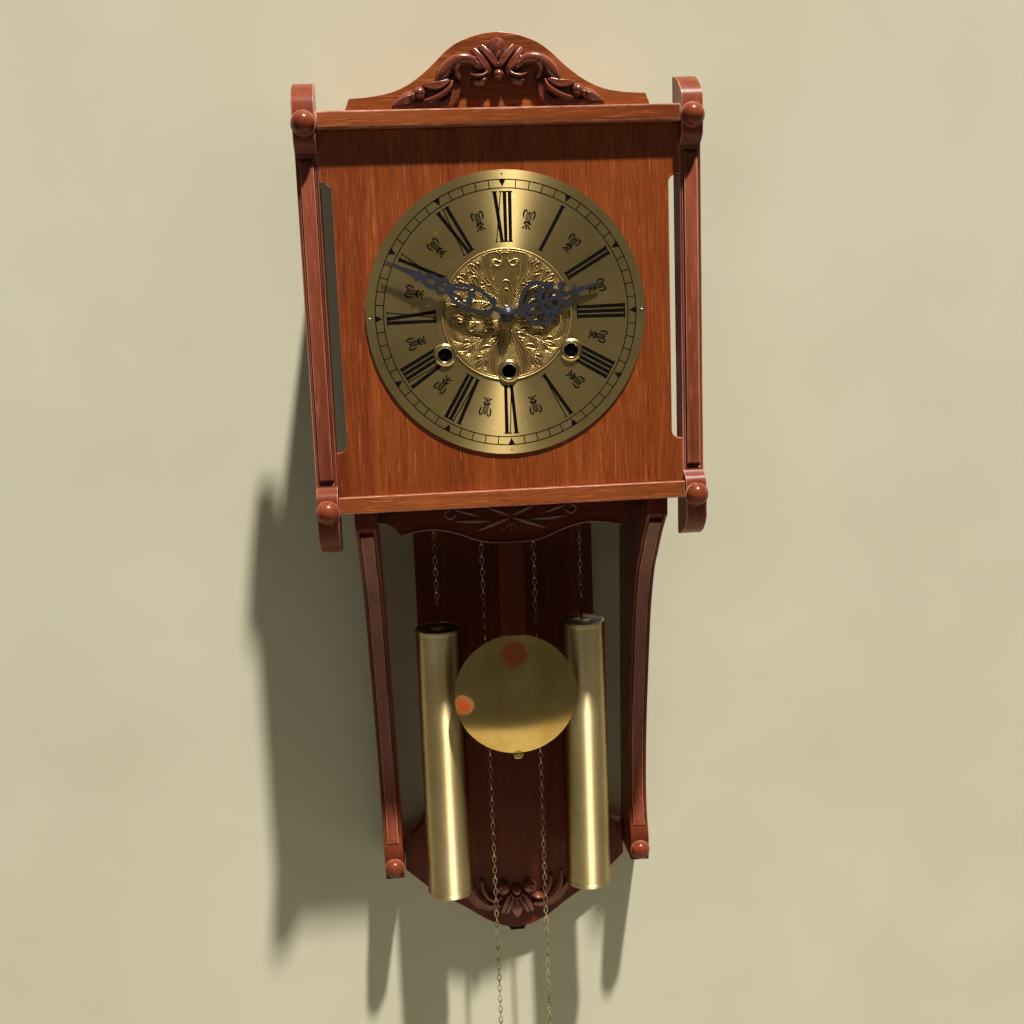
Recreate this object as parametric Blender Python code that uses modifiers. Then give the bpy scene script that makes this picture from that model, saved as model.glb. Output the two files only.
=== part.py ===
"""A wall-hung, weight-driven chime clock with a pendulum and chain-wound trains.

Metres. +Z is up, the dial faces -Y and the wall is the plane Y = 0.
The origin lies on the wall straight behind the hands' arbor.
Depths are distances from the wall, so a depth of 0.14 is at Y = -0.14.
"""

import math

import bmesh
import bpy
from mathutils import Matrix
from mathutils import Vector

# Fits
FIT_GAP = 0.0003
RUNNING_GAP = 0.0004

# Dial and hands
DIAL_DIAMETER = 0.220
DIAL_THICKNESS = 0.0012
DIAL_HOLE_RADIUS = 0.0056
DIAL_CENTRE_DIAMETER = 0.103
DIAL_CENTRE_THICKNESS = 0.0009
COLLAR_RADIUS = 0.0091
COLLAR_BORE_RADIUS = 0.0052
COLLAR_RISE = 0.0021
SIDE_COLLAR_X = 0.0498
SIDE_COLLAR_Z = -0.0297
LOWER_COLLAR_Z = -0.0442
MINUTE_HAND_LENGTH = 0.1035
HOUR_HAND_LENGTH = 0.077
MINUTE_HAND_ANGLE = math.radians(295.0)
HOUR_HAND_ANGLE = math.radians(73.5)
HOUR_HAND_LIFT = 0.0031
MINUTE_HAND_LIFT = 0.0066
HAND_THICKNESS = 0.0009
HAND_HUB_RADIUS = 0.0058
HAND_NUT_RADIUS = 0.0048
HAND_NUT_HEIGHT = 0.0042

# Hood
PANEL_FRONT = 0.139
PANEL_THICKNESS = 0.012
PANEL_HOLE_RADIUS = 0.0072
PANEL_WAIST = 0.2614
PANEL_WAIST_TOP = 0.1035
PANEL_WAIST_BOTTOM = -0.1035
PANEL_WAIST_RADIUS = 0.0065
HOOD_INNER_WIDTH = 0.279
TOP_BOARD_BOTTOM = 0.1418
TOP_BOARD_THICKNESS = 0.0129
TOP_BOARD_FRONT = 0.1492
SHELF_TOP = -0.1382
SHELF_THICKNESS = 0.0132
SHELF_FRONT = 0.1461
EDGE_ROUND = 0.0009
HOOD_SIDE_X = 0.119
HOOD_SIDE_THICKNESS = 0.012
SOUND_HOLE_WIDTH = 0.050
SOUND_HOLE_HEIGHT = 0.074
CREST_HEIGHT = 0.056
CREST_HALF_WIDTH = 0.1172
CREST_THICKNESS = 0.012
CREST_CARVING_THICKNESS = 0.0055
CREST_CARVING_WIDTH = 0.168

# Posts and their knobs
POST_WIDTH = 0.017
POST_FRONT = 0.148
POST_BACK = 0.117
POST_FACE = 0.1385
POST_TOP = 0.180
POST_BOTTOM = -0.1865
POST_STRIP_WIDTH = 0.0105
POST_STRIP_TOP = 0.1205
POST_STRIP_BOTTOM = -0.1255
POST_STRIP_RISE = 0.0022
POST_GROOVE_DEPTH = 0.0022
POST_KNOB_RADIUS = 0.0094
UPPER_KNOB_Z = 0.146
LOWER_KNOB_Z = -0.1492

# Trunk
BACKBOARD_WIDTH = 0.164
BACKBOARD_THICKNESS = 0.014
BACKBOARD_FOOT_Z = -0.5875
FOOT_HEIGHT = 0.0995
HANGING_HOLE_RADIUS = 0.004
HANGING_HOLE_Z = 0.120
RAIL_WIDTH = 0.017
RAIL_TOP_X = 0.120
RAIL_BOTTOM_X = 0.1142
RAIL_LENGTH = 0.3566
RAIL_DEPTH = 0.129
RAIL_FOOT_DEPTH = 0.052
RAIL_STRIP_WIDTH = 0.0105
RAIL_STRIP_RISE = 0.0008
RAIL_GROOVE_DEPTH = 0.003
RAIL_KNOB_RADIUS = 0.0080
RAIL_KNOB_DROP = 0.3463
APRON_STEP = 0.0065
APRON_THICKNESS = 0.0095
APRON_DROP = 0.0369
FOOT_CARVING_THICKNESS = 0.005
FOOT_CARVING_WIDTH = 0.1112
STOP_WIDTH = 0.018
STOP_HEIGHT = 0.0048
STOP_DEPTH = 0.009

# Movement frame
PLATE_THICKNESS = 0.002
PLATE_HALF_WIDTH = 0.088
PLATE_TOP = 0.050
PILLAR_RADIUS = 0.004
PILLAR_INSET = 0.008
SEAT_TOP = -0.100
SEAT_THICKNESS = 0.012
SEAT_OVERHANG = 0.003
SEAT_BACK_OVERHANG = 0.007
ARBOR_RADIUS = 0.0015
CENTRE_ARBOR_RADIUS = 0.0025
HOUR_PIPE_RADIUS = 0.0043
GONG_STEP = 0.012
GONG_WIRE_RADIUS = 0.0015
GONG_OUTER_RADIUS = 0.044
GONG_TURN_SPACING = 0.0085
GONG_CENTRE_Z = -0.020
GONG_BLOCK_WIDTH = 0.018
GONG_BLOCK_HEIGHT = 0.022
HAMMER_X = 0.070
HAMMER_Z = -0.060

# Trains
CHAIN_DEPTH = 0.060
CHAIN_RADIUS = 0.0021
GREAT_STEP = 0.0155
BACK_PLATE_STEP = 0.0075
CENTRE_STEP = 0.007
THIRD_STEP = 0.008
FRONT_PLATE_STEP = 0.008
MOTION_STEP = 0.0042
HOUR_STEP = 0.0048
GREAT_THICKNESS = 0.003
WHEEL_THICKNESS = 0.002
PINION_THICKNESS = 0.0034
CENTRE_PINION_THICKNESS = 0.006
WEIGHT_X = 0.064
TAIL_X = 0.023
GREAT_TEETH = 48
CENTRE_PINION_LEAVES = 8
GREAT_MODULE = 0.00164
CENTRE_TEETH = 72
THIRD_PINION_LEAVES = 8
CENTRE_MODULE = 0.001
THIRD_ARBOR_ANGLE = math.radians(-70.0)
THIRD_TEETH = 80
ESCAPE_PINION_LEAVES = 8
ESCAPE_Z = -0.070
ESCAPE_TEETH = 38
ESCAPE_RADIUS = 0.017
CANNON_LEAVES = 12
MINUTE_TEETH = 36
MINUTE_PINION_LEAVES = 10
HOUR_TEETH = 40
MOTION_DISTANCE = 0.0216
MOTION_ANGLE = math.radians(45.0)

# Pendulum, weights and chains
SWING = math.radians(3.0)
PIVOT_Z = -0.046
ROD_STEP = 0.009
ROD_WIDTH = 0.0215
ROD_THICKNESS = 0.004
ROD_TOP = -0.066
BOB_RADIUS = 0.0535
BOB_THICKNESS = 0.011
BOB_Z = -0.326
RATING_NUT_RADIUS = 0.0045
WEIGHT_RADIUS = 0.0208
WEIGHT_TOP = -0.271
WEIGHT_LENGTH = 0.249
HOOK_WIRE_RADIUS = 0.0009
HOOK_LOOP_RADIUS = 0.0047
HOOK_LOOP_Z = -0.256
TAIL_END_Z = -0.668

# Values that follow from the ones above
GREAT_DEPTH = CHAIN_DEPTH - GREAT_STEP
BACK_PLATE_DEPTH = GREAT_DEPTH - BACK_PLATE_STEP
CENTRE_DEPTH = CHAIN_DEPTH + CENTRE_STEP
THIRD_DEPTH = CENTRE_DEPTH + THIRD_STEP
FRONT_PLATE_DEPTH = THIRD_DEPTH + FRONT_PLATE_STEP
MOTION_DEPTH = FRONT_PLATE_DEPTH + MOTION_STEP
HOUR_WHEEL_DEPTH = MOTION_DEPTH + HOUR_STEP
ROD_DEPTH = FRONT_PLATE_DEPTH + ROD_STEP
APRON_FRONT = ROD_DEPTH + APRON_STEP + APRON_THICKNESS
GONG_DEPTH = BACK_PLATE_DEPTH - GONG_STEP
PANEL_BACK = PANEL_FRONT - PANEL_THICKNESS
INNER_HALF = HOOD_INNER_WIDTH / 2 - FIT_GAP
TOP_BOARD_TOP = TOP_BOARD_BOTTOM + TOP_BOARD_THICKNESS
SHELF_BOTTOM = SHELF_TOP - SHELF_THICKNESS
POST_X = HOOD_INNER_WIDTH / 2 + POST_WIDTH / 2
RAIL_TOP = SHELF_BOTTOM - 2 * FIT_GAP
RAIL_TILT = math.atan((RAIL_TOP_X - RAIL_BOTTOM_X) / RAIL_LENGTH)
DIAL_BACK = PANEL_FRONT + FIT_GAP
DIAL_FRONT = DIAL_BACK + DIAL_THICKNESS
DIAL_CENTRE_FRONT = DIAL_FRONT + FIT_GAP + DIAL_CENTRE_THICKNESS
HOUR_HAND_DEPTH = DIAL_FRONT + HOUR_HAND_LIFT
MINUTE_HAND_DEPTH = DIAL_FRONT + MINUTE_HAND_LIFT
PLATE_BOTTOM = SEAT_TOP + FIT_GAP
FRONT_PLATE_FACE = FRONT_PLATE_DEPTH + PLATE_THICKNESS / 2
BACK_PLATE_FACE = BACK_PLATE_DEPTH - PLATE_THICKNESS / 2
SPROCKET_X = (WEIGHT_X + TAIL_X) / 2
TIME_X = -SPROCKET_X
STRIKE_X = SPROCKET_X
SPROCKET_CHAIN_RADIUS = (WEIGHT_X - TAIL_X) / 2
GREAT_DISTANCE = GREAT_MODULE * (GREAT_TEETH + CENTRE_PINION_LEAVES) / 2
SPROCKET_Z = -math.sqrt(GREAT_DISTANCE**2 - SPROCKET_X**2)
CENTRE_DISTANCE = CENTRE_MODULE * (CENTRE_TEETH + THIRD_PINION_LEAVES) / 2
THIRD_X = CENTRE_DISTANCE * math.cos(THIRD_ARBOR_ANGLE)
THIRD_Z = CENTRE_DISTANCE * math.sin(THIRD_ARBOR_ANGLE)
THIRD_DISTANCE = math.hypot(THIRD_X, THIRD_Z - ESCAPE_Z)
THIRD_MODULE = 2 * THIRD_DISTANCE / (THIRD_TEETH + ESCAPE_PINION_LEAVES)
MINUTE_MODULE = 2 * MOTION_DISTANCE / (CANNON_LEAVES + MINUTE_TEETH)
HOUR_MODULE = 2 * MOTION_DISTANCE / (MINUTE_PINION_LEAVES + HOUR_TEETH)
MINUTE_WHEEL_X = MOTION_DISTANCE * math.cos(MOTION_ANGLE)
MINUTE_WHEEL_Z = MOTION_DISTANCE * math.sin(MOTION_ANGLE)
WEIGHT_BOTTOM = WEIGHT_TOP - WEIGHT_LENGTH

# Ways to lay a flat drawing: on the wall's plane, on a side board's plane, on a shelf's plane
FACING = Matrix(((1, 0, 0), (0, 0, -1), (0, 1, 0)))
SIDEWAYS = Matrix(((0, 0, -1), (-1, 0, 0), (0, 1, 0)))
LEVEL = Matrix(((1, 0, 0), (0, -1, 0), (0, 0, -1)))

for stray in list(bpy.data.objects):
    bpy.data.objects.remove(stray, do_unlink=True)

CLOCK = bpy.data.collections.new("chime_clock")
CUTTERS = bpy.data.collections.new("cutters")
bpy.context.scene.collection.children.link(CLOCK)
bpy.context.scene.collection.children.link(CUTTERS)

# Colours: red, green, blue, roughness, metallic
MAHOGANY = (0.245, 0.072, 0.024, 0.42, 0.0)
DARK_MAHOGANY = (0.155, 0.042, 0.020, 0.45, 0.0)
RED_MAHOGANY = (0.200, 0.055, 0.024, 0.35, 0.0)
SATIN_BRASS = (0.560, 0.450, 0.190, 0.34, 1.0)
GILT = (0.600, 0.390, 0.130, 0.38, 1.0)
POLISHED_BRASS = (0.640, 0.500, 0.220, 0.16, 1.0)
PLATE_BRASS = (0.620, 0.480, 0.200, 0.30, 1.0)
BLUED_STEEL = (0.028, 0.034, 0.050, 0.36, 0.85)
STEEL = (0.480, 0.480, 0.470, 0.28, 1.0)
IRON = (0.060, 0.060, 0.062, 0.55, 0.6)
BLACK = (0.018, 0.017, 0.017, 0.60, 0.0)


def finish(piece, colour):
    """Gives a piece its own material and smooth shading where it's round."""
    paint = bpy.data.materials.new(piece.name + "_material")
    paint.use_nodes = True
    shader = paint.node_tree.nodes["Principled BSDF"]
    shader.inputs["Base Color"].default_value = (*colour[:3], 1.0)
    shader.inputs["Roughness"].default_value = colour[3]
    shader.inputs["Metallic"].default_value = colour[4]
    piece.data.materials.clear()
    piece.data.materials.append(paint)
    return piece


def as_cutter(tool):
    """Keeps a boolean's tool out of the model."""
    for home in list(tool.users_collection):
        home.objects.unlink(tool)
    CUTTERS.objects.link(tool)
    tool.hide_render = True
    tool.display_type = "WIRE"
    return tool


def meshed(drawn, name):
    """Turns a drawn curve into a welded mesh object in the same place."""
    bpy.context.view_layer.update()
    depsgraph = bpy.context.evaluated_depsgraph_get()
    mesh = bpy.data.meshes.new_from_object(drawn.evaluated_get(depsgraph))
    welded = bmesh.new()
    welded.from_mesh(mesh)
    bmesh.ops.remove_doubles(welded, verts=welded.verts, dist=0.000001)
    bmesh.ops.recalc_face_normals(welded, faces=welded.faces)
    welded.to_mesh(mesh)
    welded.free()
    piece = bpy.data.objects.new(name, mesh)
    CLOCK.objects.link(piece)
    piece.matrix_world = drawn.matrix_world.copy()
    bpy.data.objects.remove(drawn, do_unlink=True)
    return piece


def flat_piece(name, loops, thickness, turn, place):
    """A flat outline, with holes if more loops are given, centred on its thickness."""
    curve = bpy.data.curves.new(name + "_outline", "CURVE")
    curve.dimensions = "2D"
    curve.fill_mode = "BOTH"
    curve.extrude = thickness / 2
    for loop in loops:
        spline = curve.splines.new("POLY")
        spline.points.add(len(loop) - 1)
        for point, (across, up) in zip(spline.points, loop):
            point.co = (across, up, 0.0, 1.0)
        spline.use_cyclic_u = True
    drawn = bpy.data.objects.new(name + "_outline", curve)
    CLOCK.objects.link(drawn)
    drawn.matrix_world = Matrix.Translation(Vector(place)) @ turn.to_4x4()
    return meshed(drawn, name)


def facing_piece(name, loops, back, front, x=0.0, z=0.0):
    """A flat piece parallel to the wall, between two depths."""
    place = (x, -(back + front) / 2, z)
    return flat_piece(name, loops, front - back, FACING, place)


def turned_piece(name, profile, steps, turn, place, closed=False):
    """A lathe-turned piece. The profile holds radius and height pairs from the top down."""
    mesh = bpy.data.meshes.new(name)
    points = [(radius, 0.0, height) for radius, height in profile]
    edges = [(k, k + 1) for k in range(len(points) - 1)]
    if closed:
        edges.append((len(points) - 1, 0))
    mesh.from_pydata(points, edges, [])
    piece = bpy.data.objects.new(name, mesh)
    CLOCK.objects.link(piece)
    piece.matrix_world = Matrix.Translation(Vector(place)) @ turn.to_4x4()
    lathe = piece.modifiers.new("lathe", "SCREW")
    lathe.axis = "Z"
    lathe.angle = 2 * math.pi
    lathe.steps = steps
    lathe.render_steps = steps
    lathe.use_merge_vertices = True
    lathe.merge_threshold = 0.00001
    lathe.use_smooth_shade = True
    return piece


def layered_piece(name, loops, depth, thickness, x=0.0, z=0.0):
    """A flat piece parallel to the wall, centred on a depth."""
    return flat_piece(name, loops, thickness, FACING, (x, -depth, z))


def facing_turned(name, profile, steps, depth, x=0.0, z=0.0, closed=False):
    """A turned piece whose axis points out of the wall; heights count from depth."""
    return turned_piece(name, profile, steps, FACING, (x, -depth, z), closed)


def rod_profile(radius, low, high):
    """The lathe profile of a plain cylinder."""
    return [(0.0, high), (radius, high), (radius, low), (0.0, low)]


def wire_piece(name, points, radius, resolution=2):
    """A round wire along a line of points, with closed ends."""
    curve = bpy.data.curves.new(name, "CURVE")
    curve.dimensions = "3D"
    curve.bevel_depth = radius
    curve.bevel_resolution = resolution
    curve.use_fill_caps = True
    spline = curve.splines.new("POLY")
    spline.points.add(len(points) - 1)
    for point, place in zip(spline.points, points):
        point.co = (*place, 1.0)
    piece = bpy.data.objects.new(name, curve)
    CLOCK.objects.link(piece)
    return piece


def combine(body, tool, operation):
    """Adds a tool to a body or cuts it away."""
    as_cutter(tool)
    step = body.modifiers.new(tool.name, "BOOLEAN")
    step.operation = operation
    step.solver = "EXACT"
    step.object = tool
    return body


def circle(radius, steps, x=0.0, z=0.0):
    """Points round a circle."""
    turns = [2 * math.pi * k / steps for k in range(steps)]
    return [(x + radius * math.cos(a), z + radius * math.sin(a)) for a in turns]


def oval(wide, tall, steps, x, z, lean=0.0):
    """Points round an ellipse that leans by an angle."""
    points = []
    for a, b in circle(1.0, steps):
        across = a * wide
        up = b * tall
        turned_across = across * math.cos(lean) - up * math.sin(lean)
        turned_up = across * math.sin(lean) + up * math.cos(lean)
        points.append((x + turned_across, z + turned_up))
    return points


def mirrored(half):
    """A whole outline from its right half, which runs from the top centre to the bottom centre."""
    other = [(-x, z) for x, z in reversed(half) if x > 0.000001]
    return list(half) + other


def smooth_line(knots, steps):
    """A Catmull-Rom line through the knots."""
    ends = [knots[0], *knots, knots[-1]]
    line = []
    for k in range(1, len(ends) - 2):
        p0, p1, p2, p3 = ends[k - 1 : k + 3]
        for s in range(steps):
            t = s / steps
            point = []
            for axis in (0, 1):
                a = 2 * p1[axis]
                b = (p2[axis] - p0[axis]) * t
                c = (2 * p0[axis] - 5 * p1[axis] + 4 * p2[axis] - p3[axis]) * t * t
                d = (3 * p1[axis] - p0[axis] - 3 * p2[axis] + p3[axis]) * t**3
                point.append((a + b + c + d) / 2)
            line.append(tuple(point))
    line.append(tuple(knots[-1]))
    return line


def gear_outline(teeth, module, add, root_depth, tip, root, phase):
    """A toothed outline; tip and root are tooth widths as shares of the pitch."""
    radius = teeth * module / 2
    pitch = 2 * math.pi / teeth
    tips = (-tip / 2, tip / 2) if tip > 0 else (0.0,)
    corners = [(radius - root_depth * module, -root / 2)]
    corners += [(radius + add * module, share) for share in tips]
    corners.append((radius - root_depth * module, root / 2))
    points = []
    for tooth in range(teeth):
        for r, share in corners:
            a = phase + (tooth + share) * pitch
            points.append((r * math.cos(a), r * math.sin(a)))
    return points


def wheel_outline(teeth, module, phase):
    return gear_outline(teeth, module, 0.80, 0.95, 0.0, 0.56, phase)


def pinion_outline(leaves, module, phase):
    return gear_outline(leaves, module, 0.60, 1.10, 0.18, 0.34, phase)


def mesh_phase(teeth, phase, other_teeth, direction):
    """The phase that puts a second gear in mesh with a first, at an angle from it."""
    place = ((direction - phase) * teeth / (2 * math.pi)) % 1.0
    return direction + math.pi - (0.5 - place) * 2 * math.pi / other_teeth


def ellipsoid(name, x, z, depth, wide, tall, rise, lean=0.0):
    """A carved swelling for a relief, low in facets and flatter at its back."""
    ball = bmesh.new()
    bmesh.ops.create_uvsphere(ball, u_segments=8, v_segments=5, radius=1.0)
    for vertex in ball.verts:
        if vertex.co.z < 0:
            vertex.co.z *= 0.3
    mesh = bpy.data.meshes.new(name)
    ball.to_mesh(mesh)
    ball.free()
    piece = bpy.data.objects.new(name, mesh)
    CLOCK.objects.link(piece)
    size = Matrix.Diagonal(Vector((wide, tall, rise, 1.0)))
    spin = Matrix.Rotation(lean, 4, "Z")
    mesh.transform(spin @ size)
    piece.matrix_world = Matrix.Translation(Vector((x, -depth, z))) @ FACING.to_4x4()
    return piece


# Backboard, with its wide shaped foot and the hole it hangs by
FOOT_HALF = RAIL_BOTTOM_X - RAIL_WIDTH / 2 - 2 * FIT_GAP
BOARD_HALF = BACKBOARD_WIDTH / 2
BOARD_TOP = TOP_BOARD_BOTTOM - FIT_GAP
foot_unit = FOOT_HEIGHT / 99.5
shoulder_knots = ((0.0, 135.5), (1.8, 123.5), (5.8, 112.5), (12.5, 104.5), (19.0, 100.5))
shoulder = [
    (BOARD_HALF + x * foot_unit, BACKBOARD_FOOT_Z + z * foot_unit) for x, z in shoulder_knots
]
shoulder.append((FOOT_HALF, BACKBOARD_FOOT_Z + FOOT_HEIGHT))
foot_across = FOOT_HALF / 105.1
foot_knots = (
    (105.1, 68.5),
    (94.1, 58.0),
    (83.1, 48.0),
    (64.0, 34.5),
    (48.0, 24.0),
    (31.0, 11.5),
    (15.0, 3.2),
    (0.0, 0.0),
)
foot_curve = smooth_line(
    [(x * foot_across, BACKBOARD_FOOT_Z + z * foot_unit) for x, z in foot_knots], 3
)
hood_half = HOOD_SIDE_X - HOOD_SIDE_THICKNESS / 2 - FIT_GAP
hood_low = SHELF_TOP + FIT_GAP
board_half = [
    (0.0, BOARD_TOP),
    (hood_half, BOARD_TOP),
    (hood_half, hood_low),
    (BOARD_HALF, hood_low),
    *shoulder,
    *foot_curve,
]
backboard = facing_piece(
    "backboard",
    [mirrored(board_half), circle(HANGING_HOLE_RADIUS, 16, 0.0, HANGING_HOLE_Z)],
    0.0,
    BACKBOARD_THICKNESS,
)
finish(backboard, DARK_MAHOGANY)

# Dark stop under the foot
stop_top = BACKBOARD_FOOT_Z - FIT_GAP
stop_half = STOP_WIDTH / 2
stop_outline = [
    (stop_half, stop_top),
    (-stop_half, stop_top),
    (-stop_half * 0.72, stop_top - STOP_HEIGHT),
    (stop_half * 0.72, stop_top - STOP_HEIGHT),
]
finish(facing_piece("wall_stop", [stop_outline], 0.0, STOP_DEPTH), BLACK)


def boxed_board(name, half_width, back, front, low, high):
    """A plain board with softened edges."""
    outline = [(-half_width, low), (half_width, low), (half_width, high), (-half_width, high)]
    board = facing_piece(name, [outline], back, front)
    edges = board.modifiers.new("edges", "BEVEL")
    edges.width = EDGE_ROUND
    edges.segments = 1
    edges.limit_method = "ANGLE"
    return board


finish(
    boxed_board("top_board", INNER_HALF, 0.0, TOP_BOARD_FRONT, TOP_BOARD_BOTTOM, TOP_BOARD_TOP),
    MAHOGANY,
)

# Base shelf, with slots for the chains and the pendulum
SLOT_SIDE = 3 * CHAIN_RADIUS
shelf_back = BACKBOARD_THICKNESS + FIT_GAP
chain_slot = [
    (TAIL_X - SLOT_SIDE, CHAIN_DEPTH - SLOT_SIDE),
    (WEIGHT_X + HOOK_LOOP_RADIUS + SLOT_SIDE, CHAIN_DEPTH - SLOT_SIDE),
    (WEIGHT_X + HOOK_LOOP_RADIUS + SLOT_SIDE, CHAIN_DEPTH + SLOT_SIDE),
    (TAIL_X - SLOT_SIDE, CHAIN_DEPTH + SLOT_SIDE),
]
swing_half = ROD_WIDTH / 2 + (PIVOT_Z - SHELF_BOTTOM) * math.tan(SWING) + 0.0065
swing_slot = [
    (-swing_half, ROD_DEPTH - ROD_THICKNESS),
    (swing_half, ROD_DEPTH - ROD_THICKNESS),
    (swing_half, ROD_DEPTH + ROD_THICKNESS),
    (-swing_half, ROD_DEPTH + ROD_THICKNESS),
]
shelf_outline = [
    (-INNER_HALF, shelf_back),
    (INNER_HALF, shelf_back),
    (INNER_HALF, SHELF_FRONT),
    (-INNER_HALF, SHELF_FRONT),
]
other_slot = [(-x, depth) for x, depth in reversed(chain_slot)]
shelf = flat_piece(
    "base_shelf",
    [shelf_outline, chain_slot, other_slot, swing_slot],
    SHELF_THICKNESS,
    LEVEL,
    (0.0, 0.0, (SHELF_TOP + SHELF_BOTTOM) / 2),
)
finish(shelf, MAHOGANY)

# Dial panel: cut away at both sides, and bored for the arbor and the winding holes
panel_low = SHELF_TOP + FIT_GAP
panel_high = TOP_BOARD_BOTTOM - FIT_GAP
waist = PANEL_WAIST / 2
corner = PANEL_WAIST_RADIUS
right_edge = [(INNER_HALF, panel_high), (INNER_HALF, PANEL_WAIST_TOP)]
for k in range(7):
    a = math.pi / 2 * k / 6
    across = waist + corner - corner * math.sin(a)
    right_edge.append((across, PANEL_WAIST_TOP - corner + corner * math.cos(a)))
for k in range(7):
    a = math.pi / 2 * k / 6
    across = waist + corner - corner * math.cos(a)
    right_edge.append((across, PANEL_WAIST_BOTTOM + corner - corner * math.sin(a)))
right_edge += [(INNER_HALF, PANEL_WAIST_BOTTOM), (INNER_HALF, panel_low)]
left_edge = [(-x, z) for x, z in reversed(right_edge)]
winding_places = (
    ("left_collar", -SIDE_COLLAR_X, SIDE_COLLAR_Z),
    ("right_collar", SIDE_COLLAR_X, SIDE_COLLAR_Z),
    ("lower_collar", 0.0, LOWER_COLLAR_Z),
)
panel_holes = [circle(PANEL_HOLE_RADIUS, 20)]
for name, x, z in winding_places:
    panel_holes.append(circle(COLLAR_BORE_RADIUS + FIT_GAP, 12, x, z))
panel = facing_piece("dial_panel", [right_edge + left_edge, *panel_holes], PANEL_BACK, PANEL_FRONT)
finish(panel, MAHOGANY)

# Hood sides with sound holes
side_loop = [
    (0.0, panel_low),
    (PANEL_BACK - FIT_GAP, panel_low),
    (PANEL_BACK - FIT_GAP, panel_high),
    (0.0, panel_high),
]
sound_middle = PANEL_BACK / 2
sound_hole = [
    (sound_middle - SOUND_HOLE_WIDTH / 2, -SOUND_HOLE_HEIGHT / 2),
    (sound_middle + SOUND_HOLE_WIDTH / 2, -SOUND_HOLE_HEIGHT / 2),
]
for k in range(9):
    a = math.pi * k / 8
    across = sound_middle + SOUND_HOLE_WIDTH / 2 * math.cos(a)
    up = SOUND_HOLE_HEIGHT / 2 - SOUND_HOLE_WIDTH / 2 + SOUND_HOLE_WIDTH / 2 * math.sin(a)
    sound_hole.append((across, up))
for name, x in (("left_hood_side", -HOOD_SIDE_X), ("right_hood_side", HOOD_SIDE_X)):
    board = flat_piece(name, [side_loop, sound_hole], HOOD_SIDE_THICKNESS, SIDEWAYS, (x, 0.0, 0.0))
    finish(board, DARK_MAHOGANY)

# Crest board, in the panel's plane on top of the top board
crest_low = TOP_BOARD_TOP + FIT_GAP
crest_unit = CREST_HEIGHT / 56.0
crest_across = CREST_HALF_WIDTH / 117.2
crest_knots = [
    (0.0, 56.0),
    (11.0, 54.9),
    (22.5, 51.7),
    (31.8, 47.7),
    (40.5, 41.5),
    (48.5, 34.0),
    (57.0, 26.8),
    (68.0, 19.3),
    (80.7, 13.8),
    (95.0, 11.0),
    (108.0, 10.0),
    (113.6, 9.6),
]
crest_half = smooth_line(crest_knots, 2) + [(117.2, 0.6), (117.2, 0.0), (0.0, 0.0)]
crest_half = [(x * crest_across, crest_low + z * crest_unit) for x, z in crest_half]
crest_outline = crest_half + [(-x, z) for x, z in reversed(crest_half) if x > 0.000001]
crest = facing_piece("crest_board", [crest_outline], PANEL_FRONT - CREST_THICKNESS, PANEL_FRONT)
finish(crest, MAHOGANY)


def carving(name, half, swellings, unit, low, foot, thickness):
    """An applied carving: a sawn outline with rounded swellings raised on it, drawn in a unit."""
    outline = [(x * unit, low + z * unit) for x, z in mirrored(half)]
    body = facing_piece(name, [outline], foot, foot + thickness)
    for k, (x, z, wide, tall, rise, lean) in enumerate(swellings):
        for side in (1, -1) if x > 0.000001 else (1,):
            lump = ellipsoid(
                name + "_swelling_" + str(k) + ("a" if side > 0 else "b"),
                x * side * unit,
                low + z * unit,
                foot + thickness * 0.9,
                wide * unit,
                tall * unit,
                rise * unit,
                lean * side,
            )
            combine(body, lump, "UNION")
    return finish(body, RED_MAHOGANY)


# Crest carving: a bud between petals, volutes, shoulders and trailing leaves
crest_carving_half = (
    (0.0, 52.5),
    (4.0, 47.5),
    (7.5, 43.8),
    (9.8, 42.2),
    (12.2, 45.2),
    (15.2, 43.4),
    (18.2, 43.2),
    (21.0, 40.0),
    (26.0, 40.6),
    (33.0, 39.2),
    (40.0, 35.2),
    (45.0, 29.2),
    (48.2, 21.8),
    (54.0, 19.0),
    (61.0, 16.4),
    (68.0, 12.4),
    (76.0, 8.2),
    (84.0, 3.4),
    (84.0, 0.8),
    (31.0, 0.8),
    (30.0, 5.0),
    (33.4, 11.0),
    (34.4, 17.0),
    (30.0, 21.4),
    (26.0, 23.6),
    (22.8, 22.0),
    (21.6, 18.0),
    (18.0, 14.2),
    (13.0, 12.8),
    (8.0, 14.8),
    (5.0, 17.2),
    (0.0, 15.8),
)
crest_swellings = (
    (0.0, 41.7, 6.2, 9.8, 3.4, 0.0),
    (0.0, 23.7, 5.8, 5.8, 6.2, 0.0),
    (8.2, 37.2, 2.6, 9.2, 4.2, -0.55),
    (14.0, 34.3, 2.6, 9.8, 3.6, -0.62),
    (13.6, 20.0, 6.4, 5.8, 5.6, 0.0),
    (33.5, 31.2, 15.0, 6.6, 5.8, -0.62),
    (45.2, 11.4, 14.8, 4.8, 4.4, -0.62),
    (58.8, 11.8, 5.6, 4.6, 5.4, 0.0),
    (70.2, 7.5, 9.8, 3.6, 3.2, -0.42),
)
carving(
    "crest_carving",
    crest_carving_half,
    crest_swellings,
    CREST_CARVING_WIDTH / 168.0,
    crest_low,
    PANEL_FRONT + FIT_GAP,
    CREST_CARVING_THICKNESS,
)

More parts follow.
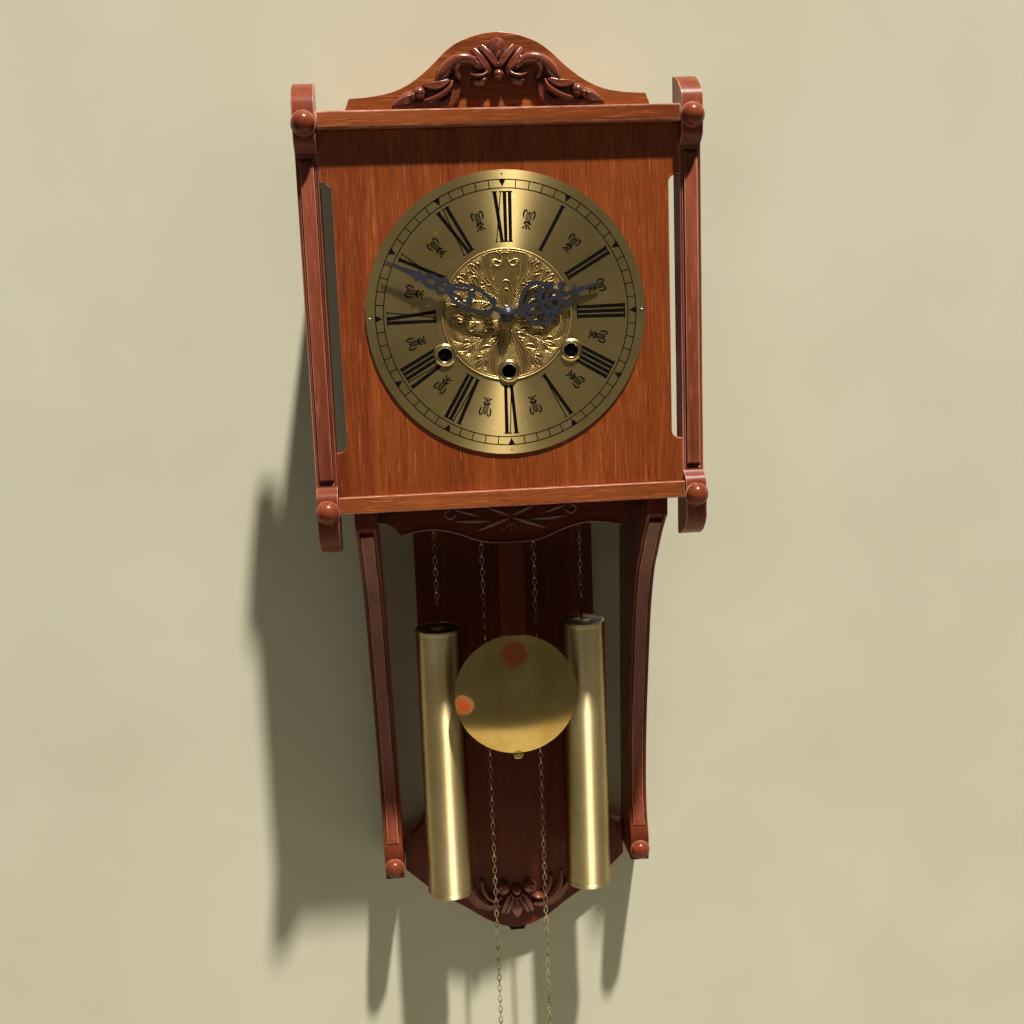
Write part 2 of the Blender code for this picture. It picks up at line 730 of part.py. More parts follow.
# Foot carving: a ball between volutes, a fan of petals and side sweeps
foot_carving_half = (
    (0.0, 46.3),
    (6.0, 45.7),
    (8.6, 49.5),
    (13.0, 51.3),
    (17.6, 49.3),
    (20.6, 44.3),
    (22.6, 39.1),
    (26.4, 41.5),
    (30.4, 47.5),
    (35.4, 54.5),
    (41.0, 60.3),
    (47.0, 57.5),
    (52.0, 50.5),
    (55.6, 41.9),
    (50.0, 35.5),
    (42.0, 28.9),
    (33.0, 23.5),
    (24.0, 20.9),
    (18.4, 21.1),
    (15.0, 17.5),
    (10.6, 18.1),
    (7.2, 16.5),
    (4.2, 12.3),
    (0.0, 9.3),
)
foot_swellings = (
    (0.0, 41.0, 4.6, 4.6, 5.2, 0.0),
    (0.0, 20.0, 6.0, 9.5, 3.6, 0.0),
    (8.6, 25.5, 2.6, 8.2, 3.6, 0.55),
    (13.0, 44.5, 6.6, 6.0, 5.4, 0.0),
    (20.5, 32.0, 6.0, 4.4, 4.6, 0.5),
    (40.0, 36.0, 15.0, 5.2, 4.6, 0.62),
    (42.0, 50.5, 6.0, 9.4, 4.0, -0.4),
)
carving(
    "foot_carving",
    foot_carving_half,
    foot_swellings,
    FOOT_CARVING_WIDTH / 111.2,
    BACKBOARD_FOOT_Z,
    BACKBOARD_THICKNESS + FIT_GAP,
    FOOT_CARVING_THICKNESS,
)

# Hood posts: a curved side profile, grooved for an inset strip
nose_top = POST_TOP - 0.019
nose_bottom = POST_BOTTOM + 0.0185
post_profile = [
    (POST_BACK, POST_BOTTOM),
    (POST_BACK, POST_TOP),
    (POST_BACK + 0.010, POST_TOP - 0.0022),
    (POST_BACK + 0.019, POST_TOP - 0.0066),
    (POST_BACK + 0.026, POST_TOP - 0.0125),
    (POST_FRONT, nose_top),
    (POST_FRONT, POST_STRIP_TOP + 0.0150),
    (POST_FRONT - 0.0012, POST_STRIP_TOP + 0.0112),
    (POST_FRONT - 0.0046, POST_STRIP_TOP + 0.0080),
    (POST_FACE + 0.0012, POST_STRIP_TOP + 0.0058),
    (POST_FACE, POST_STRIP_TOP + 0.0036),
    (POST_FACE, POST_STRIP_BOTTOM - 0.0036),
    (POST_FACE + 0.0012, POST_STRIP_BOTTOM - 0.0058),
    (POST_FRONT - 0.0046, POST_STRIP_BOTTOM - 0.0080),
    (POST_FRONT - 0.0012, POST_STRIP_BOTTOM - 0.0112),
    (POST_FRONT, POST_STRIP_BOTTOM - 0.0150),
    (POST_FRONT, nose_bottom),
    (POST_BACK + 0.026, POST_BOTTOM + 0.0115),
    (POST_BACK + 0.019, POST_BOTTOM + 0.0058),
    (POST_BACK + 0.010, POST_BOTTOM + 0.0018),
]
groove_face = POST_FACE - POST_GROOVE_DEPTH
post_groove = [
    (groove_face, POST_STRIP_BOTTOM - 0.0022),
    (POST_FRONT + 0.01, POST_STRIP_BOTTOM - 0.0022),
    (POST_FRONT + 0.01, POST_STRIP_TOP + 0.0022),
    (groove_face, POST_STRIP_TOP + 0.0022),
]
strip_front = POST_FACE + POST_STRIP_RISE
strip_profile = [
    (groove_face + FIT_GAP, POST_STRIP_BOTTOM),
    (strip_front - 0.0016, POST_STRIP_BOTTOM),
    (strip_front, POST_STRIP_BOTTOM + 0.0016),
    (strip_front, POST_STRIP_TOP - 0.0024),
    (strip_front - 0.0008, POST_STRIP_TOP - 0.0008),
    (strip_front - 0.0024, POST_STRIP_TOP),
    (groove_face + FIT_GAP, POST_STRIP_TOP),
]


def knob_profile(radius):
    """A domed knob, from its crown down to its foot."""
    shares = (
        (0.0, 1.02),
        (0.44, 0.93),
        (0.80, 0.66),
        (0.985, 0.30),
        (1.0, 0.12),
        (0.93, 0.0),
        (0.0, 0.0),
    )
    return [(radius * r, radius * h) for r, h in shares]


for side, x in (("left", -POST_X), ("right", POST_X)):
    post = flat_piece(side + "_post", [post_profile], POST_WIDTH, SIDEWAYS, (x, 0.0, 0.0))
    groove = flat_piece(
        side + "_post_groove",
        [post_groove],
        POST_STRIP_WIDTH + 2 * FIT_GAP,
        SIDEWAYS,
        (x, 0.0, 0.0),
    )
    combine(post, groove, "DIFFERENCE")
    finish(post, RED_MAHOGANY)
    strip = flat_piece(
        side + "_post_strip", [strip_profile], POST_STRIP_WIDTH, SIDEWAYS, (x, 0.0, 0.0)
    )
    finish(strip, MAHOGANY)
    for height, z in (("upper", UPPER_KNOB_Z), ("lower", LOWER_KNOB_Z)):
        knob = facing_turned(
            height + "_" + side + "_knob",
            knob_profile(POST_KNOB_RADIUS),
            16,
            POST_FRONT + FIT_GAP,
            x,
            z,
        )
        finish(knob, RED_MAHOGANY)

# Trunk rails: console-shaped side boards, grooved for an inset strip; heights count from their tops
rail_shares = (
    (1.000, 0.044),
    (0.849, 0.096),
    (0.702, 0.161),
    (0.620, 0.198),
    (0.539, 0.263),
    (0.473, 0.340),
    (0.411, 0.458),
    (0.358, 0.573),
    (0.324, 0.678),
    (0.312, 0.763),
    (0.319, 0.839),
    (0.350, 0.893),
    (0.388, 0.921),
)
rail_front = smooth_line([(RAIL_DEPTH * d, -RAIL_LENGTH * z) for d, z in rail_shares], 2)
rail_profile = [
    (0.0, -RAIL_LENGTH),
    (0.0, 0.0),
    (RAIL_DEPTH, 0.0),
    *rail_front,
    (RAIL_FOOT_DEPTH, -RAIL_LENGTH * 0.940),
    (RAIL_FOOT_DEPTH, -RAIL_LENGTH),
]


def offset_line(line, distance):
    """A line moved sideways, towards growing depth for a positive distance."""
    moved = []
    for k, (depth, z) in enumerate(line):
        before = line[max(k - 1, 0)]
        after = line[min(k + 1, len(line) - 1)]
        run = math.hypot(after[0] - before[0], after[1] - before[1])
        out_depth = -(after[1] - before[1]) / run
        out_z = (after[0] - before[0]) / run
        moved.append((depth + out_depth * distance, z + out_z * distance))
    return moved


groove_line = rail_front[:-2]
strip_line = rail_front[1:-3]
groove_floor = offset_line(groove_line, -RAIL_GROOVE_DEPTH)
rail_groove = groove_floor + offset_line(groove_line, 4 * RAIL_GROOVE_DEPTH)[::-1]
strip_back = offset_line(strip_line, FIT_GAP - RAIL_GROOVE_DEPTH)
rail_strip = strip_back + offset_line(strip_line, RAIL_STRIP_RISE)[::-1]
for side, sign in (("left", -1), ("right", 1)):
    tilt = Matrix.Rotation(RAIL_TILT * sign, 3, "Y")
    place = Vector((RAIL_TOP_X * sign, 0.0, RAIL_TOP))
    rail = flat_piece(side + "_rail", [rail_profile], RAIL_WIDTH, tilt @ SIDEWAYS, place)
    groove = flat_piece(
        side + "_rail_groove",
        [rail_groove],
        RAIL_STRIP_WIDTH + 2 * FIT_GAP,
        tilt @ SIDEWAYS,
        place,
    )
    combine(rail, groove, "DIFFERENCE")
    finish(rail, DARK_MAHOGANY)
    strip = flat_piece(
        side + "_rail_strip", [rail_strip], RAIL_STRIP_WIDTH, tilt @ SIDEWAYS, place
    )
    finish(strip, RED_MAHOGANY)
    knob_place = place + tilt @ Vector((0.0, -RAIL_FOOT_DEPTH - FIT_GAP, -RAIL_KNOB_DROP))
    knob = turned_piece(
        side + "_rail_knob", knob_profile(RAIL_KNOB_RADIUS), 14, FACING, knob_place
    )
    finish(knob, RED_MAHOGANY)

# Apron, scroll-sawn along its lower edge
apron_high = SHELF_BOTTOM - FIT_GAP
apron_half_width = RAIL_TOP_X - RAIL_WIDTH / 2 - 0.05 * math.tan(RAIL_TILT) - 2 * FIT_GAP
apron_low = apron_high - APRON_DROP
apron_across = apron_half_width / 110.5
apron_down = APRON_DROP / 36.9
apron_knots = (
    (92.0, 10.1),
    (80.0, 13.0),
    (67.0, 14.0),
    (54.0, 12.3),
    (41.0, 8.3),
    (30.0, 3.8),
    (20.0, 1.1),
    (10.0, 0.3),
    (0.0, 0.0),
)
apron_corner = ((110.5, 36.9), (110.5, 22.3), (104.0, 21.3), (98.5, 18.0), (94.8, 13.5))
apron_half = [(0.0, 36.9), *apron_corner, *smooth_line(apron_knots, 2)]
apron_half = [(x * apron_across, apron_low + z * apron_down) for x, z in apron_half]
apron = facing_piece("apron", [mirrored(apron_half)], APRON_FRONT - APRON_THICKNESS, APRON_FRONT)
finish(apron, DARK_MAHOGANY)

# Dial plate, embossed centre and winding-hole collars
dial_holes = [circle(DIAL_HOLE_RADIUS, 16)]
for name, x, z in winding_places:
    dial_holes.append(circle(COLLAR_BORE_RADIUS + 2 * FIT_GAP, 12, x, z))
dial = facing_piece(
    "dial_plate",
    [circle(DIAL_DIAMETER / 2, 64), *dial_holes],
    DIAL_BACK,
    DIAL_FRONT,
)
finish(dial, SATIN_BRASS)
centre_foot = DIAL_FRONT + FIT_GAP
centre = facing_piece(
    "dial_centre",
    [circle(DIAL_CENTRE_DIAMETER / 2, 44), circle(DIAL_HOLE_RADIUS, 16)],
    centre_foot,
    DIAL_CENTRE_FRONT,
)
for name, x, z in winding_places:
    bite = facing_piece(
        "bite_of_" + name,
        [circle(COLLAR_RADIUS + FIT_GAP, 18)],
        DIAL_FRONT - 0.002,
        DIAL_CENTRE_FRONT + 0.002,
        x,
        z,
    )
    combine(centre, bite, "DIFFERENCE")
finish(centre, GILT)
collar_profile = [
    (COLLAR_BORE_RADIUS + 0.0008, COLLAR_RISE),
    (COLLAR_RADIUS - 0.0016, COLLAR_RISE),
    (COLLAR_RADIUS - 0.0004, COLLAR_RISE * 0.62),
    (COLLAR_RADIUS, 0.0),
    (COLLAR_BORE_RADIUS, 0.0),
    (COLLAR_BORE_RADIUS, COLLAR_RISE * 0.62),
]
for name, x, z in winding_places:
    collar = facing_turned(name, collar_profile, 18, centre_foot, x, z, closed=True)
    finish(collar, POLISHED_BRASS)


def hand_outline(right_half, reach, length):
    """A hand's outline pointing up, from the right half of a drawing of known reach."""
    unit = length / reach
    right = [(x * unit, z * unit) for x, z in right_half]
    return right + [(-x, z) for x, z in reversed(right) if x > 0.000001]


def hand_holes(ovals, reach, length):
    """The pierced openings of a hand, each given for its right side and mirrored."""
    unit = length / reach
    loops = []
    for x, z, wide, tall, lean in ovals:
        for side in (1, -1) if x > 0.01 else (1,):
            size = (wide * unit, tall * unit)
            loops.append(oval(*size, 8, x * unit * side, z * unit, lean * side))
    return loops


def hub_arc(radius):
    """The lower part of a hand's round hub, from its right side to its bottom."""
    arc = []
    for k in range(6):
        a = 0.37 - (math.pi / 2 + 0.37) * k / 5
        arc.append((radius * math.cos(a), radius * math.sin(a)))
    return arc


def hand(name, drawing, reach, length, ovals, bore, depth, angle):
    """A flat pierced hand on the hands' axis, turned clockwise from twelve by an angle."""
    loops = [hand_outline(drawing, reach, length), circle(bore, 16)]
    loops += hand_holes(ovals, reach, length)
    clockwise = Matrix.Rotation(-angle, 3, "Z")
    piece = flat_piece(name, loops, HAND_THICKNESS, FACING @ clockwise, (0.0, -depth, 0.0))
    return finish(piece, BLUED_STEEL)


MINUTE_REACH = 103.5
HOUR_REACH = 77.0
minute_drawing = [
    (0.0, 103.5),
    (0.7, 101.0),
    (2.9, 76.0),
    (4.2, 75.6),
    (4.0, 73.0),
    (2.4, 71.8),
    (3.4, 69.6),
    (4.9, 65.6),
    (4.9, 62.0),
    (3.6, 58.6),
    (5.6, 56.4),
    (5.4, 53.2),
    (4.4, 51.0),
    (7.0, 44.0),
    (9.2, 35.0),
    (9.2, 29.0),
    (7.6, 22.0),
    (8.6, 18.4),
    (7.2, 14.8),
    (4.0, 12.2),
    (3.6, 9.0),
    *hub_arc(HAND_HUB_RADIUS * MINUTE_REACH / MINUTE_HAND_LENGTH),
]
minute_ovals = (
    (0.0, 64.2, 2.5, 4.0, 0.0),
    (0.0, 54.4, 2.2, 2.6, 0.0),
    (3.4, 34.5, 2.1, 9.5, -0.06),
    (2.9, 17.8, 1.7, 3.4, -0.35),
)
hand(
    "minute_hand",
    minute_drawing,
    MINUTE_REACH,
    MINUTE_HAND_LENGTH,
    minute_ovals,
    CENTRE_ARBOR_RADIUS + FIT_GAP,
    MINUTE_HAND_DEPTH,
    MINUTE_HAND_ANGLE,
)
hour_drawing = [
    (0.0, 77.0),
    (0.8, 75.0),
    (2.5, 58.6),
    (4.6, 58.0),
    (4.2, 55.6),
    (2.5, 54.4),
    (4.2, 51.8),
    (8.4, 51.6),
    (9.2, 47.2),
    (7.2, 44.2),
    (8.2, 41.0),
    (12.6, 40.4),
    (13.2, 36.0),
    (15.2, 33.0),
    (16.6, 27.4),
    (15.0, 21.0),
    (10.4, 16.6),
    (7.4, 15.4),
    (6.6, 11.8),
    (4.2, 9.2),
    *hub_arc(HAND_HUB_RADIUS * HOUR_REACH / HOUR_HAND_LENGTH),
]
hour_ovals = (
    (10.2, 27.6, 3.6, 6.2, 0.25),
    (3.5, 26.0, 1.8, 7.5, -0.12),
    (3.6, 13.4, 1.5, 2.2, -0.4),
    (3.0, 43.4, 1.6, 5.6, 0.10),
    (9.0, 37.6, 1.9, 1.7, 0.0),
    (5.6, 48.4, 1.7, 1.5, 0.0),
)
hand(
    "hour_hand",
    hour_drawing,
    HOUR_REACH,
    HOUR_HAND_LENGTH,
    hour_ovals,
    HOUR_PIPE_RADIUS + FIT_GAP,
    HOUR_HAND_DEPTH,
    HOUR_HAND_ANGLE,
)
nut_foot = MINUTE_HAND_DEPTH + HAND_THICKNESS / 2 + FIT_GAP
nut_profile = [
    (0.0, HAND_NUT_HEIGHT),
    (HAND_NUT_RADIUS * 0.40, HAND_NUT_HEIGHT),
    (HAND_NUT_RADIUS * 0.52, HAND_NUT_HEIGHT * 0.66),
    (HAND_NUT_RADIUS * 0.92, HAND_NUT_HEIGHT * 0.50),
    (HAND_NUT_RADIUS, HAND_NUT_HEIGHT * 0.24),
    (HAND_NUT_RADIUS * 0.94, 0.0),
    (0.0, 0.0),
]
finish(facing_turned("hand_nut", nut_profile, 16, nut_foot), BLUED_STEEL)

# Movement plates, drilled for the arbors
arbor_places = (
    (TIME_X, SPROCKET_Z),
    (STRIKE_X, SPROCKET_Z),
    (THIRD_X, THIRD_Z),
    (0.0, ESCAPE_Z),
)
plate_outline = [
    (-PLATE_HALF_WIDTH, PLATE_BOTTOM),
    (PLATE_HALF_WIDTH, PLATE_BOTTOM),
    (PLATE_HALF_WIDTH, PLATE_TOP),
    (-PLATE_HALF_WIDTH, PLATE_TOP),
]
pivot_holes = [circle(ARBOR_RADIUS + RUNNING_GAP, 12, x, z) for x, z in arbor_places]
centre_hole = circle(CENTRE_ARBOR_RADIUS + RUNNING_GAP, 16)
front_plate = facing_piece(
    "front_plate",
    [plate_outline, centre_hole, *pivot_holes],
    FRONT_PLATE_DEPTH - PLATE_THICKNESS / 2,
    FRONT_PLATE_FACE,
)
cock_profile = [
    (FRONT_PLATE_DEPTH, PIVOT_Z + 0.012),
    (ROD_DEPTH + ROD_THICKNESS / 2 + 0.001, PIVOT_Z + 0.012),
    (ROD_DEPTH + ROD_THICKNESS / 2 + 0.001, PIVOT_Z + FIT_GAP),
    (ROD_DEPTH - ROD_THICKNESS / 2, PIVOT_Z + FIT_GAP),
    (ROD_DEPTH - ROD_THICKNESS / 2, PIVOT_Z + 0.004),
    (FRONT_PLATE_DEPTH, PIVOT_Z + 0.004),
]
cock = flat_piece("suspension_cock", [cock_profile], 0.008, SIDEWAYS, (0.0, 0.0, 0.0))
combine(front_plate, cock, "UNION")
minute_stud = facing_turned(
    "minute_stud",
    rod_profile(ARBOR_RADIUS, 0.0, HOUR_WHEEL_DEPTH + WHEEL_THICKNESS - FRONT_PLATE_DEPTH),
    12,
    FRONT_PLATE_DEPTH,
    MINUTE_WHEEL_X,
    MINUTE_WHEEL_Z,
)
combine(front_plate, minute_stud, "UNION")
anchor_stud = facing_turned(
    "anchor_stud", rod_profile(0.0012, 0.0, 0.0045), 12, FRONT_PLATE_DEPTH, 0.0, PIVOT_Z
)
combine(front_plate, anchor_stud, "UNION")
finish(front_plate, PLATE_BRASS)

back_plate = facing_piece(
    "back_plate",
    [plate_outline, centre_hole, *pivot_holes],
    BACK_PLATE_FACE,
    BACK_PLATE_DEPTH + PLATE_THICKNESS / 2,
)
pillar_end = FRONT_PLATE_DEPTH - PLATE_THICKNESS / 2 - FIT_GAP - BACK_PLATE_DEPTH
pillar_x = PLATE_HALF_WIDTH - PILLAR_INSET
for k, (x, z) in enumerate(
    (
        (pillar_x, PLATE_TOP - PILLAR_INSET),
        (-pillar_x, PLATE_TOP - PILLAR_INSET),
        (pillar_x, PLATE_BOTTOM + PILLAR_INSET),
        (-pillar_x, PLATE_BOTTOM + PILLAR_INSET),
    )
):
    pillar = facing_turned(
        "pillar_" + str(k), rod_profile(PILLAR_RADIUS, 0.0, pillar_end), 10, BACK_PLATE_DEPTH, x, z
    )
    combine(back_plate, pillar, "UNION")
hammer_stud = facing_turned(
    "hammer_stud",
    rod_profile(0.0012, GONG_DEPTH - 0.003 - BACK_PLATE_DEPTH, 0.0),
    12,
    BACK_PLATE_DEPTH,
    HAMMER_X,
    HAMMER_Z,
)
combine(back_plate, hammer_stud, "UNION")
finish(back_plate, PLATE_BRASS)

# Seat board that carries the movement between the hood sides
seat_back = BACK_PLATE_DEPTH - SEAT_BACK_OVERHANG
seat_front = FRONT_PLATE_DEPTH + SEAT_OVERHANG
seat_loop = [
    (-hood_half, seat_back),
    (hood_half, seat_back),
    (hood_half, seat_front),
    (-hood_half, seat_front),
]
seat = flat_piece(
    "seat_board",
    [seat_loop, chain_slot, other_slot],
    SEAT_THICKNESS,
    LEVEL,
    (0.0, 0.0, SEAT_TOP - SEAT_THICKNESS / 2),
)
finish(seat, DARK_MAHOGANY)

# Centre arbor with its pinion, centre wheel and cannon pinion
arbor_low = BACK_PLATE_FACE + FIT_GAP
arbor_high = FRONT_PLATE_FACE - FIT_GAP
minute_end = MINUTE_HAND_DEPTH + HAND_THICKNESS / 2
minute_arbor = facing_turned(
    "minute_arbor", rod_profile(CENTRE_ARBOR_RADIUS, 0.0, minute_end - arbor_low), 16, arbor_low
)
great_direction = math.atan2(-SPROCKET_Z, -TIME_X)
great_to_centre = mesh_phase(GREAT_TEETH, 0.0, CENTRE_PINION_LEAVES, great_direction)
centre_pinion = layered_piece(
    "centre_pinion",
    [pinion_outline(CENTRE_PINION_LEAVES, GREAT_MODULE, great_to_centre)],
    GREAT_DEPTH,
    CENTRE_PINION_THICKNESS,
)
combine(minute_arbor, centre_pinion, "UNION")
centre_wheel = layered_piece(
    "centre_wheel",
    [wheel_outline(CENTRE_TEETH, CENTRE_MODULE, 0.0)],
    CENTRE_DEPTH,
    WHEEL_THICKNESS,
)
combine(minute_arbor, centre_wheel, "UNION")
cannon_pinion = layered_piece(
    "cannon_pinion",
    [pinion_outline(CANNON_LEAVES, MINUTE_MODULE, 0.0)],
    MOTION_DEPTH,
    PINION_THICKNESS,
)
combine(minute_arbor, cannon_pinion, "UNION")
finish(minute_arbor, STEEL)

# Great wheel of the going train, on the left-hand arbor
great_wheel = layered_piece(
    "time_great_wheel",
    [wheel_outline(GREAT_TEETH, GREAT_MODULE, 0.0)],
    GREAT_DEPTH,
    GREAT_THICKNESS,
    TIME_X,
    SPROCKET_Z,
)
great_arbor = facing_turned(
    "great_arbor",
    rod_profile(ARBOR_RADIUS, 0.0, arbor_high - arbor_low),
    12,
    arbor_low,
    TIME_X,
    SPROCKET_Z,
)
combine(great_wheel, great_arbor, "UNION")
finish(great_wheel, PLATE_BRASS)

# Chain sprockets: spools that the chains lie in, each with a ratchet rim
spool_half = 0.0036
spool_floor = SPROCKET_CHAIN_RADIUS - CHAIN_RADIUS - 2 * FIT_GAP
spool_rim = SPROCKET_CHAIN_RADIUS + 0.0008
spool_bore = ARBOR_RADIUS + RUNNING_GAP
spool_profile = [
    (spool_bore, spool_half),
    (spool_rim, spool_half),
    (spool_rim, spool_half - 0.0008),
    (spool_floor, spool_half - 0.0011),
    (spool_floor, 0.0011 - spool_half),
    (spool_rim, 0.0008 - spool_half),
    (spool_rim, -spool_half),
    (spool_bore, -spool_half),
]
finish(
    facing_turned("time_sprocket", spool_profile, 20, CHAIN_DEPTH, TIME_X, SPROCKET_Z, True),
    PLATE_BRASS,
)
strike_profile = [(0.0, spool_half), *spool_profile[1:-1], (0.0, -spool_half)]
strike_sprocket = facing_turned(
    "strike_sprocket", strike_profile, 20, CHAIN_DEPTH, STRIKE_X, SPROCKET_Z
)
ratchet = facing_piece(
    "strike_ratchet",
    [gear_outline(20, 0.0015, 0.9, 0.9, 0.0, 0.86, 0.0)],
    CHAIN_DEPTH - spool_half - 0.0025,
    CHAIN_DEPTH - spool_half + 0.0004,
    STRIKE_X,
    SPROCKET_Z,
)
combine(strike_sprocket, ratchet, "UNION")
strike_arbor = facing_turned(
    "strike_arbor",
    rod_profile(ARBOR_RADIUS, 0.0, arbor_high - arbor_low),
    12,
    arbor_low,
    STRIKE_X,
    SPROCKET_Z,
)
combine(strike_sprocket, strike_arbor, "UNION")
finish(strike_sprocket, PLATE_BRASS)

# Third wheel and its pinion
third_pinion_phase = mesh_phase(CENTRE_TEETH, 0.0, THIRD_PINION_LEAVES, THIRD_ARBOR_ANGLE)
third_wheel = layered_piece(
    "third_wheel",
    [wheel_outline(THIRD_TEETH, THIRD_MODULE, 0.0)],
    THIRD_DEPTH,
    WHEEL_THICKNESS,
    THIRD_X,
    THIRD_Z,
)
third_pinion = layered_piece(
    "third_pinion",
    [pinion_outline(THIRD_PINION_LEAVES, CENTRE_MODULE, third_pinion_phase)],
    CENTRE_DEPTH,
    PINION_THICKNESS,
    THIRD_X,
    THIRD_Z,
)
combine(third_wheel, third_pinion, "UNION")
third_arbor = facing_turned(
    "third_arbor",
    rod_profile(ARBOR_RADIUS, 0.0, arbor_high - arbor_low),
    12,
    arbor_low,
    THIRD_X,
    THIRD_Z,
)
combine(third_wheel, third_arbor, "UNION")
finish(third_wheel, PLATE_BRASS)

# Escape wheel in front of the front plate, its pinion between the plates
escape_direction = math.atan2(ESCAPE_Z - THIRD_Z, -THIRD_X)
escape_pinion_phase = mesh_phase(THIRD_TEETH, 0.0, ESCAPE_PINION_LEAVES, escape_direction)
escape_back = FRONT_PLATE_FACE + 0.0008
escape_front = escape_back + 0.0012
escape_outline = []
for tooth in range(ESCAPE_TEETH):
    pitch = 2 * math.pi / ESCAPE_TEETH
    a = math.pi / 2 + (tooth + 0.25) * pitch
    for r, share in ((-0.0021, -0.62), (-0.0021, -0.14), (0.0, 0.0)):
        r += ESCAPE_RADIUS
        escape_outline.append((r * math.cos(a + share * pitch), r * math.sin(a + share * pitch)))
escape_wheel = facing_piece(
    "escape_wheel", [escape_outline], escape_back, escape_front, 0.0, ESCAPE_Z
)
escape_pinion = layered_piece(
    "escape_pinion",
    [pinion_outline(ESCAPE_PINION_LEAVES, THIRD_MODULE, escape_pinion_phase)],
    THIRD_DEPTH,
    PINION_THICKNESS,
    0.0,
    ESCAPE_Z,
)
combine(escape_wheel, escape_pinion, "UNION")
escape_arbor = facing_turned(
    "escape_arbor",
    rod_profile(ARBOR_RADIUS, 0.0, escape_front - arbor_low - 0.0003),
    12,
    arbor_low,
    0.0,
    ESCAPE_Z,
)
combine(escape_wheel, escape_arbor, "UNION")
finish(escape_wheel, PLATE_BRASS)

# Anchor with two pallets over the escape wheel, and the crutch that pushes the pendulum
arm = PIVOT_Z - ESCAPE_Z
reach_angle = math.acos(min(ESCAPE_RADIUS / arm, 0.95))
pallet_x = ESCAPE_RADIUS * math.sin(reach_angle)
pallet_z = ESCAPE_RADIUS * math.cos(reach_angle) - arm
clear = FIT_GAP + arm * math.sin(reach_angle) * math.tan(SWING)
pallet_out = pallet_x + clear * math.sin(reach_angle)
pallet_up = pallet_z + clear * math.cos(reach_angle)
anchor_half = [
    (0.0, 0.0032),
    (0.0030, 0.0030),
    (pallet_out + 0.0026, pallet_up + 0.0052),
    (pallet_out + 0.0030, pallet_up + 0.0020),
    (pallet_out, pallet_up),
    (pallet_out - 0.0014, pallet_up + 0.0012),
    (pallet_out - 0.0012, pallet_up + 0.0042),
    (0.0028, -0.0030),
    (0.0, -0.0032),
]
crutch_back = escape_front + FIT_GAP
crutch_front = crutch_back + 0.0014
anchor = facing_piece(
    "anchor",
    [mirrored(anchor_half), circle(0.0012 + RUNNING_GAP, 12)],
    escape_back,
    crutch_back + 0.0005,
    0.0,
    PIVOT_Z,
)
crutch_low = SEAT_TOP + 0.004 - PIVOT_Z
crutch_outline = [
    (0.0010, crutch_low),
    (0.0010, -0.0021),
    (0.0030, -0.0018),
    (0.0030, 0.0018),
    (0.0, 0.0031),
    (-0.0030, 0.0018),
    (-0.0030, -0.0018),
    (-0.0010, -0.0021),
    (-0.0010, crutch_low),
]
crutch = facing_piece(
    "crutch",
    [crutch_outline, circle(0.0012 + RUNNING_GAP, 12)],
    crutch_back,
    crutch_front,
    0.0,
    PIVOT_Z,
)
combine(anchor, crutch, "UNION")
finish(anchor, STEEL)

# Motion work: minute wheel on its stud, hour wheel on its pipe
minute_wheel_phase = mesh_phase(CANNON_LEAVES, 0.0, MINUTE_TEETH, MOTION_ANGLE)
minute_wheel = layered_piece(
    "minute_wheel",
    [
        wheel_outline(MINUTE_TEETH, MINUTE_MODULE, minute_wheel_phase),
        circle(ARBOR_RADIUS + RUNNING_GAP, 12),
    ],
    MOTION_DEPTH,
    WHEEL_THICKNESS,
    MINUTE_WHEEL_X,
    MINUTE_WHEEL_Z,
)
minute_pinion = facing_piece(
    "minute_pinion",
    [
        pinion_outline(MINUTE_PINION_LEAVES, HOUR_MODULE, 0.0),
        circle(ARBOR_RADIUS + RUNNING_GAP, 12),
    ],
    MOTION_DEPTH + WHEEL_THICKNESS * 0.4,
    HOUR_WHEEL_DEPTH + WHEEL_THICKNESS,
    MINUTE_WHEEL_X,
    MINUTE_WHEEL_Z,
)
combine(minute_wheel, minute_pinion, "UNION")
finish(minute_wheel, PLATE_BRASS)
hour_phase = mesh_phase(MINUTE_PINION_LEAVES, 0.0, HOUR_TEETH, MOTION_ANGLE + math.pi)
hour_bore = CENTRE_ARBOR_RADIUS + RUNNING_GAP
hour_wheel = layered_piece(
    "hour_wheel",
    [wheel_outline(HOUR_TEETH, HOUR_MODULE, hour_phase), circle(hour_bore, 16)],
    HOUR_WHEEL_DEPTH,
    WHEEL_THICKNESS,
)
pipe_end = HOUR_HAND_DEPTH + HAND_THICKNESS / 2 + 0.0006
pipe_profile = [
    (hour_bore, pipe_end - HOUR_WHEEL_DEPTH),
    (HOUR_PIPE_RADIUS, pipe_end - HOUR_WHEEL_DEPTH),
    (HOUR_PIPE_RADIUS, 0.0),
    (hour_bore, 0.0),
]
hour_pipe = facing_turned("hour_pipe", pipe_profile, 16, HOUR_WHEEL_DEPTH, closed=True)
combine(hour_wheel, hour_pipe, "UNION")
finish(hour_wheel, PLATE_BRASS)

